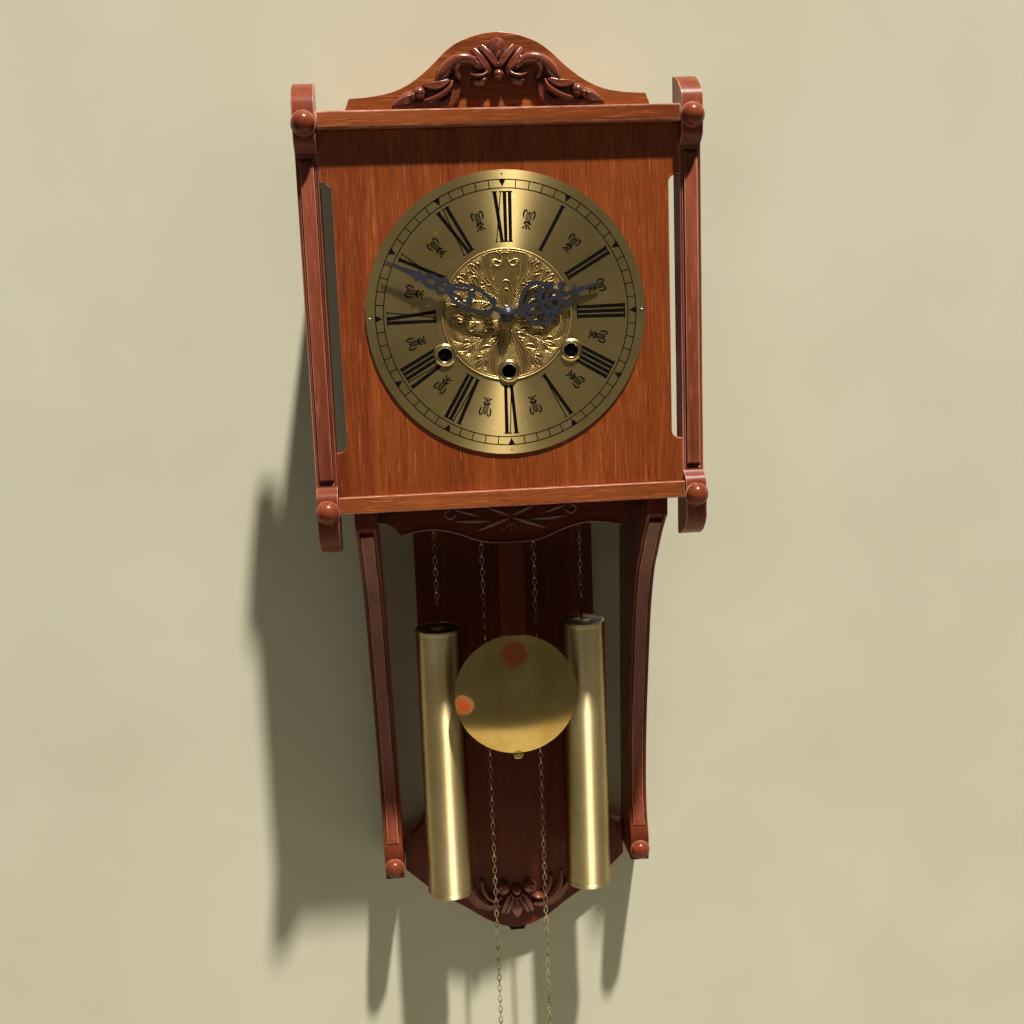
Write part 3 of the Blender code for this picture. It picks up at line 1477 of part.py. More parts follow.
# Coil gong behind the movement, hung from a block on the backboard
gong_points = []
gong_turns = 3.25
for k in range(int(gong_turns * 14) + 1):
    a = math.pi / 2 + 2 * math.pi * k / 14
    r = GONG_OUTER_RADIUS - GONG_TURN_SPACING * k / 14
    gong_points.append((r * math.cos(a), -GONG_DEPTH, GONG_CENTRE_Z + r * math.sin(a)))
block_low = GONG_CENTRE_Z + GONG_OUTER_RADIUS + 0.008
gong_points.insert(0, (0.0, -GONG_DEPTH, block_low - FIT_GAP))
finish(wire_piece("gong_coil", gong_points, GONG_WIRE_RADIUS, 1), STEEL)
block_half = GONG_BLOCK_WIDTH / 2
block_outline = [
    (-block_half, block_low),
    (block_half, block_low),
    (block_half, block_low + GONG_BLOCK_HEIGHT),
    (-block_half, block_low + GONG_BLOCK_HEIGHT),
]
gong_block = facing_piece(
    "gong_block", [block_outline], BACKBOARD_THICKNESS + FIT_GAP, GONG_DEPTH + 0.004
)
finish(gong_block, IRON)

# Hammer, leaning towards the gong's outer turn
strike_x = GONG_OUTER_RADIUS + GONG_WIRE_RADIUS + 0.0055 - HAMMER_X
strike_z = GONG_CENTRE_Z - 0.010 - HAMMER_Z
lean = math.atan2(-strike_x, strike_z)
arm_length = math.hypot(strike_x, strike_z)
hammer_drawing = [
    (-0.0011, 0.0030),
    (-0.0030, 0.0010),
    (-0.0030, -0.0010),
    (-0.0012, -0.0030),
    (0.0012, -0.0030),
    (0.0030, -0.0010),
    (0.0030, 0.0010),
    (0.0011, 0.0030),
    (0.0011, arm_length - 0.006),
    (0.0036, arm_length - 0.006),
    (0.0036, arm_length + 0.006),
    (-0.0036, arm_length + 0.006),
    (-0.0036, arm_length - 0.006),
    (-0.0011, arm_length - 0.006),
]
hammer = flat_piece(
    "hammer",
    [hammer_drawing[::-1], circle(0.0012 + RUNNING_GAP, 12)],
    0.005,
    FACING @ Matrix.Rotation(lean, 3, "Z"),
    (HAMMER_X, -GONG_DEPTH, HAMMER_Z),
)
finish(hammer, STEEL)

# Pendulum: suspension spring, wooden rod, disc bob and rating nut
spring_outline = [
    (-0.0004, PIVOT_Z),
    (0.0004, PIVOT_Z),
    (0.0004, ROD_TOP + FIT_GAP),
    (-0.0004, ROD_TOP + FIT_GAP),
]
spring = facing_piece(
    "suspension_spring",
    [[(x, z - PIVOT_Z) for x, z in spring_outline]],
    ROD_DEPTH - 0.0018,
    ROD_DEPTH + 0.0018,
    0.0,
    PIVOT_Z,
)
finish(spring, STEEL)
rod_half = ROD_WIDTH / 2
bob_gap = FIT_GAP * 2
rod_low = BOB_Z + BOB_RADIUS * 0.94
rod_outline = [
    (-rod_half, rod_low),
    (rod_half, rod_low),
    (rod_half, ROD_TOP - 0.010),
    (0.0045, ROD_TOP),
    (-0.0045, ROD_TOP),
    (-rod_half, ROD_TOP - 0.010),
]
rod = facing_piece(
    "pendulum_rod",
    [[(x, z - PIVOT_Z) for x, z in rod_outline]],
    ROD_DEPTH - ROD_THICKNESS / 2,
    ROD_DEPTH + ROD_THICKNESS / 2,
    0.0,
    PIVOT_Z,
)
finish(rod, RED_MAHOGANY)
bob_profile = []
for k in range(5):
    a = math.pi / 2 * (1 - k / 4)
    share = math.cos(a)
    bob_profile.append((BOB_RADIUS * share, BOB_THICKNESS / 2 * (0.12 + 0.88 * (1 - share**2))))
bob_profile += [(r, -h) for r, h in reversed(bob_profile)]
bob = facing_turned("pendulum_bob", bob_profile, 32, ROD_DEPTH, 0.0, BOB_Z)
rod_slot = facing_piece(
    "bob_slot",
    [
        [
            (-rod_half - bob_gap, rod_low - bob_gap),
            (rod_half + bob_gap, rod_low - bob_gap),
            (rod_half + bob_gap, ROD_TOP),
            (-rod_half - bob_gap, ROD_TOP),
        ]
    ],
    ROD_DEPTH - ROD_THICKNESS / 2 - bob_gap,
    ROD_DEPTH + ROD_THICKNESS / 2 + bob_gap,
)
combine(bob, rod_slot, "DIFFERENCE")
finish(bob, POLISHED_BRASS)
nut_top = BOB_Z - BOB_RADIUS - FIT_GAP
rating_profile = [
    (0.0, 0.0),
    (RATING_NUT_RADIUS * 0.9, 0.0),
    (RATING_NUT_RADIUS, -0.0008),
    (RATING_NUT_RADIUS, -0.0030),
    (RATING_NUT_RADIUS * 0.9, -0.0038),
    (0.0, -0.0038),
]
UPRIGHT = Matrix.Identity(3)
finish(
    turned_piece("rating_nut", rating_profile, 16, UPRIGHT, (0.0, -ROD_DEPTH, nut_top)),
    POLISHED_BRASS,
)

# Weights: straight brass shells with a thin rim at each end
weight_profile = [
    (0.0, 0.0),
    (WEIGHT_RADIUS, 0.0),
    (WEIGHT_RADIUS, -0.0034),
    (WEIGHT_RADIUS - 0.0006, -0.0040),
    (WEIGHT_RADIUS - 0.0006, 0.0040 - WEIGHT_LENGTH),
    (WEIGHT_RADIUS, 0.0034 - WEIGHT_LENGTH),
    (WEIGHT_RADIUS, -WEIGHT_LENGTH),
    (0.0, -WEIGHT_LENGTH),
]
chain_low = HOOK_LOOP_Z + HOOK_LOOP_RADIUS + HOOK_WIRE_RADIUS + FIT_GAP
for side, sign in (("left", -1), ("right", 1)):
    x = WEIGHT_X * sign
    weight = turned_piece(
        side + "_weight", weight_profile, 24, UPRIGHT, (x, -CHAIN_DEPTH, WEIGHT_TOP)
    )
    finish(weight, SATIN_BRASS)
    hook_points = [(0.0, WEIGHT_TOP + FIT_GAP), (0.0, HOOK_LOOP_Z - HOOK_LOOP_RADIUS - 0.002)]
    for k in range(13):
        a = math.radians(-90 + 300 * k / 12)
        across = HOOK_LOOP_RADIUS * math.cos(a)
        hook_points.append((across, HOOK_LOOP_Z + HOOK_LOOP_RADIUS * math.sin(a)))
    if side == "right":
        line = [(x + across, -CHAIN_DEPTH, z) for across, z in hook_points]
    else:
        line = [(x, -CHAIN_DEPTH - across, z) for across, z in hook_points]
    finish(wire_piece(side + "_hook", line, HOOK_WIRE_RADIUS, 1), STEEL)

    # The chain runs up from the hook; its tail lies over the sprocket and hangs free
    line = [(x, -CHAIN_DEPTH, chain_low), (x, -CHAIN_DEPTH, SPROCKET_Z - FIT_GAP)]
    finish(wire_piece(side + "_chain", line, CHAIN_RADIUS), POLISHED_BRASS)
    tail = []
    for k in range(11):
        a = math.pi * k / 10
        across = SPROCKET_X + SPROCKET_CHAIN_RADIUS * math.cos(a)
        tail.append((across * sign, -CHAIN_DEPTH, SPROCKET_Z + SPROCKET_CHAIN_RADIUS * math.sin(a)))
    tail.append((TAIL_X * sign, -CHAIN_DEPTH, TAIL_END_Z))
    finish(wire_piece(side + "_tail", tail, CHAIN_RADIUS), POLISHED_BRASS)
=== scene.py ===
"""The looks of the wall-hung chime clock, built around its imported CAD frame.

Metres, in the CAD's own frame: +Z is up, the dial faces -Y and the wall is Y = 0.
A depth is a distance from the wall, so a depth of 0.14 is at Y = -0.14.
Drawings of carving, dial and hands are in millimetres, scaled by MM.
"""

import math

import bpy
import numpy as np
from mathutils import Matrix
from mathutils import Vector


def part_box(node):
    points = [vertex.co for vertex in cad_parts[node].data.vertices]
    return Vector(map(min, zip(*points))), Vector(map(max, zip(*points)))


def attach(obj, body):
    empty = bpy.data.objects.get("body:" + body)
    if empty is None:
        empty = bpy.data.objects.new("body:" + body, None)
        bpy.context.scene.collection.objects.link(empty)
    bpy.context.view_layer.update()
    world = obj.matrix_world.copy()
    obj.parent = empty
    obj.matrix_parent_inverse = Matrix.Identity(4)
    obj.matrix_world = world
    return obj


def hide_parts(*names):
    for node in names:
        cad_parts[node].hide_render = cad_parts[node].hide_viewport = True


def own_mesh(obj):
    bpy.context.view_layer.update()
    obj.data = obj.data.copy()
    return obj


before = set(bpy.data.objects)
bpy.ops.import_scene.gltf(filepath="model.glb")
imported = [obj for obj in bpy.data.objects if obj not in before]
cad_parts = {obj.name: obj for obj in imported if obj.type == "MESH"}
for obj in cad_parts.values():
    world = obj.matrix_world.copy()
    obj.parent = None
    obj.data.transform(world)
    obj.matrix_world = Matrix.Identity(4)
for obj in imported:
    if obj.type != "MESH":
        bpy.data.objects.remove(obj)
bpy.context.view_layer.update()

MM = 0.001
SEED = 7
SIDES = (("left", -1), ("right", 1))
COLLARS = ("left_collar", "right_collar", "lower_collar")

# Camera, solved from the photograph of 1024 by 1024 pixels
IMAGE_WIDTH = 1024
FOCAL_PIXELS = 1177.29
SENSOR_WIDTH = 36.0
CAMERA_PLACE = Vector((-0.08387, -1.07271, 0.00021))
CAMERA_YAW = 0.0877956
CAMERA_PITCH = 0.1666513
CAMERA_ROLL = -0.0373281

# Chains: the route of each is the CAD's own
CHAIN_DEPTH = 0.060
SPROCKET_X = 0.0435
SPROCKET_Z = -0.0147126
SPROCKET_CHAIN_RADIUS = 0.0205
WEIGHT_X = 0.064
TAIL_X = 0.023
TAIL_END_Z = -0.668
CHAIN_TOP_Z = SPROCKET_Z - 0.0003
CHAIN_LOW_Z = -0.2501
LINK_PITCH = 0.0054
LINK_WIRE = 0.00092
LINK_HALF_WIDTH = 0.00152
LINK_HALF_STRAIGHT = 0.00165
END_RING_RADIUS = 0.0062
END_RING_WIRE = 0.0009

# Depths of the faces that pieces sit on
DIAL_FRONT = 0.1405
CREST_FACE = 0.139
FOOT_FACE = 0.014
APRON_FACE = 0.108
HOUR_HAND_DEPTH = 0.1436
MINUTE_HAND_DEPTH = 0.1471
HAND_THICKNESS = 0.0009
HAND_SWELL = 1.42
HOUR_HAND_ANGLE = math.radians(73.5)
MINUTE_HAND_ANGLE = math.radians(295.0)

# Mesh helpers
SHARP_ANGLE = 35.0
ON_AXIS = 1e-7


def new_piece(name, vertices, faces, body, material, slot, sharp=SHARP_ANGLE):
    """A mesh piece, smooth up to an angle in degrees, riding on a body unless it is scenery."""
    mesh = bpy.data.meshes.new(name)
    mesh.from_pydata([tuple(map(float, v)) for v in vertices], [], [tuple(f) for f in faces])
    mesh.validate()
    mesh.polygons.foreach_set("use_smooth", [True] * len(mesh.polygons))
    mesh.set_sharp_from_angle(angle=math.radians(sharp))
    piece = bpy.data.objects.new(name, mesh)
    bpy.context.scene.collection.objects.link(piece)
    for one in material if isinstance(material, list) else [material]:
        mesh.materials.append(one)
    if body:
        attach(piece, body)
    return piece


def smooth_line(knots, steps):
    """A Catmull-Rom line through knots of any number of values."""
    knots = np.asarray(knots, float)
    ends = np.vstack([2 * knots[0] - knots[1], knots, 2 * knots[-1] - knots[-2]])
    line = []
    for k in range(len(knots) - 1):
        a, b, c, d = ends[k : k + 4]
        for step in range(steps):
            t = step / steps
            line.append(
                0.5 * (2 * b + (c - a) * t + (2 * a - 5 * b + 4 * c - d) * t * t)
                + 0.5 * (3 * b - 3 * c + d - a) * t**3
            )
    line.append(knots[-1])
    return np.array(line)


def turned(profile, steps, closed=False):
    """Vertices and faces of a profile (radius, height) turned about an upright axis."""
    vertices, rows, faces = [], [], []
    for radius, height in profile:
        if radius < ON_AXIS:
            rows.append([len(vertices)] * steps)
            vertices.append((0.0, 0.0, height))
            continue
        rows.append(list(range(len(vertices), len(vertices) + steps)))
        for k in range(steps):
            a = 2 * math.pi * k / steps
            vertices.append((radius * math.cos(a), radius * math.sin(a), height))
    pairs = list(zip(rows, rows[1:] + rows[:1]))
    for low, high in pairs if closed else pairs[:-1]:
        for k in range(steps):
            n = (k + 1) % steps
            corners = [low[k], low[n], high[n], high[k]]
            kept = [c for i, c in enumerate(corners) if c != corners[i - 1]]
            if len(kept) > 2:
                faces.append(kept)
    return vertices, faces


def upright(vertices, x, depth, z):
    """Turned vertices stood at a place."""
    return [(x + a, b - depth, z + h) for a, b, h in vertices]


def toward_front(vertices, x, depth, z):
    """Turned vertices laid with their axis pointing out of the wall."""
    return [(x + a, -depth - h, z + b) for a, b, h in vertices]


def turned_at(profile, steps, lay, place, closed=False):
    """A turned profile laid at a place (x, depth, z), as vertices and faces."""
    vertices, faces = turned(profile, steps, closed)
    return lay(vertices, *place), faces


def in_metres(drawing):
    """Drawn pairs of millimetres in metres."""
    return [(u * MM, v * MM) for u, v in drawing]


def prism(outline, back, front):
    """Vertices and faces of a drawn outline (x, z) raised between two depths."""
    n = len(outline)
    vertices = [(x, -depth, z) for depth in (back, front) for x, z in outline]
    faces = [tuple(range(n)), tuple(range(2 * n - 1, n - 1, -1))]
    for k in range(n):
        m = (k + 1) % n
        faces.append((k, k + n, m + n, m))
    return vertices, faces


def ribbon_outline(line, widths):
    """The outline of a line (x, z) with a half-width at each point."""
    line = np.asarray(line, float)
    slope = np.gradient(line, axis=0)
    slope /= np.linalg.norm(slope, axis=1)[:, None]
    side = np.column_stack([-slope[:, 1], slope[:, 0]]) * np.asarray(widths, float)[:, None]
    return [*map(tuple, line + side), *map(tuple, (line - side)[::-1])]


def joined(solids):
    """Vertices and faces of several solids as one mesh."""
    vertices, faces = [], []
    for some_vertices, some_faces in solids:
        shift = len(vertices)
        vertices += list(some_vertices)
        faces += [tuple(i + shift for i in face) for face in some_faces]
    return vertices, faces


# Relief: carving as a field of heights over a grid, in millimetres
BURY = 1.2
SCOOP_LIP = 0.8
SCOOP_FLOOR = 0.76
RIDGE_EDGE = 0.88
RIDGE_SHOULDER = 0.45
SECTION_POWERS = {"flat": 6.0, "swell": 2.8, "round": 2.0}
NEAR_SHARE = 1.5
NEAR_MARGIN = 1.0
LEAST_RADIUS = 0.05
LEAST_RISE = 0.05
OUTSIDE_FALL = 2.0
LEAST_SQUARE = 1e-9


def section(share, kind):
    """The cross-section of a carved stroke: share is 0 on its line and 1 at its edge."""
    inside = np.clip(share, 0, 1)
    if kind == "scoop":
        hollow = SCOOP_FLOOR + (1 - SCOOP_FLOOR) * (inside / SCOOP_LIP) ** 2
        lip = np.sqrt(np.clip(1 - ((inside - SCOOP_LIP) / (1 - SCOOP_LIP)) ** 2, 0, 1))
        return np.where(inside < SCOOP_LIP, hollow, lip)
    if kind == "ridge":
        slope = 1 - (1 - RIDGE_SHOULDER) * inside / RIDGE_EDGE
        edge = RIDGE_SHOULDER * (1 - inside) / (1 - RIDGE_EDGE)
        return np.where(inside < RIDGE_EDGE, slope, edge)
    return np.sqrt(np.clip(1 - inside ** SECTION_POWERS[kind], 0, 1))


def from_segment(across, up, start, end):
    """Each place's share along a straight segment, and its distance from it."""
    x, z = start[:2]
    dx, dz = end[:2] - start[:2]
    along = ((across - x) * dx + (up - z) * dz) / max(dx * dx + dz * dz, LEAST_SQUARE)
    share = np.clip(along, 0, 1)
    return share, np.hypot(across - x - share * dx, up - z - share * dz)


def stroke_heights(across, up, knots, kind, steps):
    """Heights of one stroke; knots are (x, z, half-width, height)."""
    line = smooth_line(knots, steps)
    heights = np.full(across.shape, -BURY)
    for start, end in zip(line[:-1], line[1:]):
        (x0, z0, r0, h0), (x1, z1, r1, h1) = start, end
        reach = max(r0, r1) * NEAR_SHARE + NEAR_MARGIN
        near = (across > min(x0, x1) - reach) & (across < max(x0, x1) + reach)
        near &= (up > min(z0, z1) - reach) & (up < max(z0, z1) + reach)
        if not near.any():
            continue
        t, away = from_segment(across[near], up[near], start, end)
        radius = np.maximum(r0 + t * (r1 - r0), LEAST_RADIUS)
        share = away / radius
        height = (h0 + t * (h1 - h0)) * section(share, kind)
        height = np.where(share > 1, -(away - radius) * OUTSIDE_FALL, height)
        heights[near] = np.maximum(heights[near], np.maximum(height, -BURY))
    return heights


def groove_depths(across, up, knots, steps):
    """Depths cut by a groove; knots are (x, z, half-width, depth)."""
    depth = np.zeros(across.shape)
    line = smooth_line(knots, steps)
    for start, end in zip(line[:-1], line[1:]):
        t, away = from_segment(across, up, start, end)
        radius = start[2] + t * (end[2] - start[2])
        cut = start[3] + t * (end[3] - start[3])
        depth = np.maximum(depth, cut * np.exp(-((away / radius) ** 2)))
    return depth


def leaf_insets(across, up, knots, steps):
    """How far each place lies inside a leaf; knots are (x, z, half-width)."""
    line = smooth_line(knots, steps)
    inset = np.full(across.shape, -np.inf)
    for start, end in zip(line[:-1], line[1:]):
        t, away = from_segment(across, up, start, end)
        inset = np.maximum(inset, start[2] + t * (end[2] - start[2]) - away)
    return inset


def softened(heights):
    """Heights with their crisp steps rubbed down, and the outline left as it is."""
    rows = np.pad(heights, 1, mode="edge")
    rows = (rows[:-2] + 2 * rows[1:-1] + rows[2:]) / 4
    rubbed = (rows[:, :-2] + 2 * rows[:, 1:-1] + rows[:, 2:]) / 4
    return np.where(heights > 0, np.maximum(rubbed, LEAST_RISE), heights)


def grid(low_x, high_x, low_z, high_z, step):
    """A grid of places in millimetres."""
    xs = np.arange(low_x, high_x + step / 2, step)
    zs = np.arange(low_z, high_z + step / 2, step)
    return np.meshgrid(xs, zs)


def relief_mesh(across, up, heights, face, foot, keep=None):
    """The cells that rise above a face, with walls that go below it by a foot in mm."""
    corners = np.maximum.reduce(
        [heights[:-1, :-1], heights[1:, :-1], heights[:-1, 1:], heights[1:, 1:]]
    )
    cells = corners > 0
    if keep is not None:
        cells &= keep[:-1, :-1] & keep[1:, :-1] & keep[:-1, 1:] & keep[1:, 1:]
    used = np.zeros(heights.shape, bool)
    for rows in (slice(0, -1), slice(1, None)):
        for columns in (slice(0, -1), slice(1, None)):
            used[rows, columns] |= cells
    count = int(used.sum())
    index = np.full(heights.shape, -1)
    index[used] = np.arange(count)
    x = across[used] * MM
    z = up[used] * MM
    front = np.column_stack([x, -(face + heights[used] * MM), z])
    back = np.column_stack([x, np.full(count, -(face - foot * MM)), z])
    a, b = index[:-1, :-1][cells], index[:-1, 1:][cells]
    c, d = index[1:, 1:][cells], index[1:, :-1][cells]
    faces = np.column_stack([a, b, c, d]).tolist()
    padded = np.pad(cells, 1)
    inner = padded[1:-1, 1:-1]
    rims = (
        (inner & ~padded[:-2, 1:-1], index[:-1, :-1], index[:-1, 1:]),
        (inner & ~padded[1:-1, 2:], index[:-1, 1:], index[1:, 1:]),
        (inner & ~padded[2:, 1:-1], index[1:, 1:], index[1:, :-1]),
        (inner & ~padded[1:-1, :-2], index[1:, :-1], index[:-1, :-1]),
    )
    for open_side, first, second in rims:
        p, q = first[open_side], second[open_side]
        faces += np.column_stack([q, p, p + count, q + count]).tolist()
    return np.vstack([front, back]), faces


# Materials
NOISE_SPAN = (0.3, 0.7)
MIX_SHARE = 0
MIX_FIRST = 6
MIX_SECOND = 7
MIX_RESULT = 2


def new_material(name):
    """A material, its node tree and its shader."""
    material = bpy.data.materials.new(name)
    material.use_nodes = True
    return material, material.node_tree, material.node_tree.nodes["Principled BSDF"]


def is_socket(value):
    """Whether a value comes from another node."""
    return isinstance(value, bpy.types.NodeSocket)


def add_node(tree, kind, inputs=None, **settings):
    """A node with its settings and inputs, each input a constant or another node's output."""
    node = tree.nodes.new(kind)
    for key, value in settings.items():
        setattr(node, key, value)
    for key, value in (inputs or {}).items():
        if is_socket(value):
            tree.links.new(value, node.inputs[key])
        else:
            node.inputs[key].default_value = value
    return node


def noise(tree, place, scale, detail=2.0, roughness=0.5, distortion=0.0):
    """The value of a noise texture at a place."""
    settings = {"Vector": place, "Scale": scale, "Detail": detail}
    settings.update({"Roughness": roughness, "Distortion": distortion})
    return add_node(tree, "ShaderNodeTexNoise", settings).outputs["Fac"]


def ramp(tree, value, stops):
    """A colour ramp; stops are (position, colour)."""
    node = add_node(tree, "ShaderNodeValToRGB", {"Fac": value})
    elements = node.color_ramp.elements
    while len(elements) < len(stops):
        elements.new(0.5)
    for element, (position, colour) in zip(elements, stops):
        element.position = position
        element.color = (*colour, 1.0)
    return node.outputs["Color"]


def spread(tree, value, low, high, to_low, to_high):
    """A value mapped from one range to another."""
    settings = {"Value": value, "From Min": low, "From Max": high}
    settings.update({"To Min": to_low, "To Max": to_high})
    return add_node(tree, "ShaderNodeMapRange", settings).outputs["Result"]


def blend(tree, share, first, second, mode="MIX"):
    """Two colours mixed by a share."""
    inputs = {MIX_SHARE: share}
    for key, colour in ((MIX_FIRST, first), (MIX_SECOND, second)):
        inputs[key] = colour if is_socket(colour) else (*colour, 1.0)
    node = add_node(tree, "ShaderNodeMix", inputs, data_type="RGBA", blend_type=mode)
    return node.outputs[MIX_RESULT]


def tinted_over_span(tree, colour, texture, span, strength, tint_colour):
    """A colour tinted more and more as a texture goes through a span of values: for stains and wear, and
    for painted shade and highlight.
    """
    return blend(tree, spread(tree, texture, *span, 0.0, strength), colour, tint_colour)


def tinted(colour, share, lift=0.0):
    """A colour made darker or lighter."""
    return [share * c + lift for c in colour]


def surface(tree, shader, colour, texture, low, high):
    """The shader's colour, and a roughness that goes from low to high with a texture."""
    tree.links.new(colour, shader.inputs["Base Color"])
    roughness = spread(tree, texture, *NOISE_SPAN, low, high)
    tree.links.new(roughness, shader.inputs["Roughness"])


def bump(tree, shader, height, strength, distance):
    """A bump on the shader's normal."""
    settings = {"Height": height, "Strength": strength, "Distance": distance}
    node = add_node(tree, "ShaderNodeBump", settings)
    tree.links.new(node.outputs["Normal"], shader.inputs["Normal"])


def object_place(tree, stretch=(1.0, 1.0, 1.0)):
    """The place on the object, stretched."""
    place = add_node(tree, "ShaderNodeTexCoord").outputs["Object"]
    return add_node(tree, "ShaderNodeMapping", {"Vector": place, "Scale": stretch}).outputs["Vector"]


# Scales of the textures: of wood across its grain, of brass, and of the wood's drawing-out along the grain
FIGURE_SCALE = 62.0
FIBRE_SCALE = 520.0
FLECK_SCALE = 840.0
PORE_SCALE = 1300.0
SPECK_SCALE = 900.0
MARK_SCALE = 1500.0
GRAIN_STRETCH = 0.045

FIBRE_SHADE = (0.74, 0.70, 0.68)
FIBRE_BUMP = 0.0003
MARK_BUMP = 0.00008
COAT_SHARE = 0.75
COAT_ROUGHNESS = 0.16
QUARTER_TURN = 0.25
WEIGHT_SPUN = 0.96
DIAL_SPUN = 0.92


def wood(name, grain, dark, mid, light, gloss=0.30, varnish=0.30, flecks=0.0, carved=False):
    """Varnished wood with its grain along axis 0, 1 or 2; flecks are pale worn pores; carved wood is
    darker in its hollows as painted shade, and paler on its ridges, partly wear and partly painted
    highlight.
    """
    material, tree, shader = new_material(name)
    stretch = [1.0, 1.0, 1.0]
    stretch[grain] = GRAIN_STRETCH
    place = object_place(tree, stretch)
    figure = noise(tree, place, FIGURE_SCALE, 4.0, 0.62, 0.7)
    fibre = noise(tree, place, FIBRE_SCALE, 2.0)
    pores = noise(tree, place, PORE_SCALE, 1.0)
    colour = ramp(tree, figure, ((0.30, dark), (0.50, mid), (0.72, light)))
    fibres = ramp(tree, fibre, ((0.30, FIBRE_SHADE), (0.62, (1.0, 1.0, 1.0))))
    colour = blend(tree, 0.8, colour, fibres, "MULTIPLY")
    colour = tinted_over_span(tree, colour, pores, (0.60, 0.70), 0.55, tinted(dark, 0.35))
    if flecks:
        worn = noise(tree, place, FLECK_SCALE, 2.0, 0.6)
        colour = tinted_over_span(tree, colour, worn, (0.58, 0.70), flecks, tinted(light, 1.7, 0.03))
    if carved:
        # Carved wood: painted shade in the hollows, and a paler tone on the ridges, partly wear and partly
        # painted highlight, both read from the surface's curvature
        point = add_node(tree, "ShaderNodeNewGeometry").outputs["Pointiness"]
        colour = tinted_over_span(tree, colour, point, (0.50, 0.42), 0.75, tinted(dark, 0.25))
        colour = tinted_over_span(tree, colour, point, (0.52, 0.60), 0.45, tinted(light, 1.25))
    surface(tree, shader, colour, fibre, gloss + 0.10, gloss - 0.04)
    shader.inputs["Specular IOR Level"].default_value = varnish
    shader.inputs["Coat Weight"].default_value = varnish * COAT_SHARE
    shader.inputs["Coat Roughness"].default_value = COAT_ROUGHNESS
    bump(tree, shader, blend(tree, 0.5, fibres, figure), 0.22, FIBRE_BUMP)
    return material


def spun(tree, shader, axis, amount):
    """Marks left by turning about an axis, which spread highlights across them."""
    shader.inputs["Anisotropic"].default_value = amount
    shader.inputs["Anisotropic Rotation"].default_value = QUARTER_TURN
    tangent = add_node(tree, "ShaderNodeTangent", direction_type="RADIAL", axis=axis)
    tree.links.new(tangent.outputs["Tangent"], shader.inputs["Tangent"])


def metal(
    name, clean, tarnish, gloss, patch_scale, brushed=(1.0, 1.0, 1.0), scratches=0.10, turned_about=None
):
    """Metal with patches of tarnish and fine marks; brushed stretches the marks along one axis."""
    material, tree, shader = new_material(name)
    place = object_place(tree)
    patches = noise(tree, place, patch_scale, 5.0, 0.6, 0.3)
    specks = noise(tree, place, SPECK_SCALE, 1.0)
    marks = noise(tree, object_place(tree, brushed), MARK_SCALE, 1.0)
    colour = ramp(tree, patches, ((0.38, tarnish), (0.62, clean)))
    colour = tinted_over_span(tree, colour, specks, (0.70, 0.76), 0.7, tinted(tarnish, 0.3))
    surface(tree, shader, colour, marks, gloss - 0.05, gloss + 0.06)
    shader.inputs["Metallic"].default_value = 1.0
    bump(tree, shader, marks, scratches, MARK_BUMP)
    if turned_about:
        spun(tree, shader, turned_about, WEIGHT_SPUN)
    return material


MAHOGANY = ((0.170, 0.031, 0.006), (0.240, 0.049, 0.009), (0.305, 0.072, 0.013))
ORANGE_WOOD = ((0.150, 0.030, 0.007), (0.250, 0.058, 0.012), (0.355, 0.098, 0.024))
STRIP_WOOD = ((0.158, 0.036, 0.017), (0.214, 0.053, 0.026), (0.262, 0.071, 0.036))
# Foot carving's wood, lightened as painted sunlight, so that it looks lit where the bob and weights shade
# it
PAINTED_SUNLIT_FOOT_WOOD = ((0.200, 0.050, 0.026), (0.285, 0.076, 0.042), (0.350, 0.104, 0.060))
# Apron relief's wood, paler than the apron: partly wear, partly a painted highlight where the relief
# catches the light
RELIEF_WEAR_AND_HIGHLIGHT_WOOD = ((0.130, 0.050, 0.034), (0.185, 0.078, 0.056), (0.230, 0.104, 0.076))
# Pale wood for edges and knob rings: partly wear, partly a painted highlight where edges catch the light
WEAR_AND_HIGHLIGHT_WOOD = ((0.230, 0.062, 0.034), (0.420, 0.180, 0.120), (0.560, 0.300, 0.220))
RED_WOOD = ((0.130, 0.024, 0.010), (0.182, 0.036, 0.015), (0.226, 0.050, 0.021))
DARK_WOOD = ((0.068, 0.013, 0.005), (0.098, 0.020, 0.008), (0.126, 0.028, 0.011))
BACK_WOOD = ((0.092, 0.018, 0.007), (0.132, 0.027, 0.011), (0.170, 0.038, 0.015))

panel_wood = wood("panel_wood", 2, *MAHOGANY, flecks=0.45)
rail_wood = wood("rail_wood", 2, *BACK_WOOD, varnish=0.10)
post_wood = wood("post_wood", 2, *RED_WOOD, varnish=0.12, flecks=0.25)
strip_wood = wood("strip_wood", 2, *STRIP_WOOD, gloss=0.26, varnish=0.20, flecks=0.35)
board_wood = wood("board_wood", 0, *ORANGE_WOOD, flecks=0.55)
cross_wood = wood("cross_wood", 0, *DARK_WOOD, varnish=0.10)
knob_wood = wood("knob_wood", 1, *RED_WOOD, gloss=0.26, varnish=0.14, flecks=0.30)
# Edge wood: partly wear, partly a painted highlight
wear_and_highlight_wood = wood("wear_and_highlight_wood", 2, *WEAR_AND_HIGHLIGHT_WOOD, varnish=0.20)
carved_wood = wood("carved_wood", 0, *RED_WOOD, gloss=0.26, varnish=0.55, carved=True)
# Apron relief: partly wear, partly a painted highlight
apron_wood = wood("apron_wood", 0, *RELIEF_WEAR_AND_HIGHLIGHT_WOOD, varnish=0.25, carved=True)
# Painted sunlight: the foot carving is lighter than its wood would be
painted_sunlit_foot_wood = wood("painted_sunlit_foot_wood", 2, *PAINTED_SUNLIT_FOOT_WOOD, gloss=0.26, varnish=0.45, carved=True)
rod_wood = wood("rod_wood", 2, *DARK_WOOD, varnish=0.10)

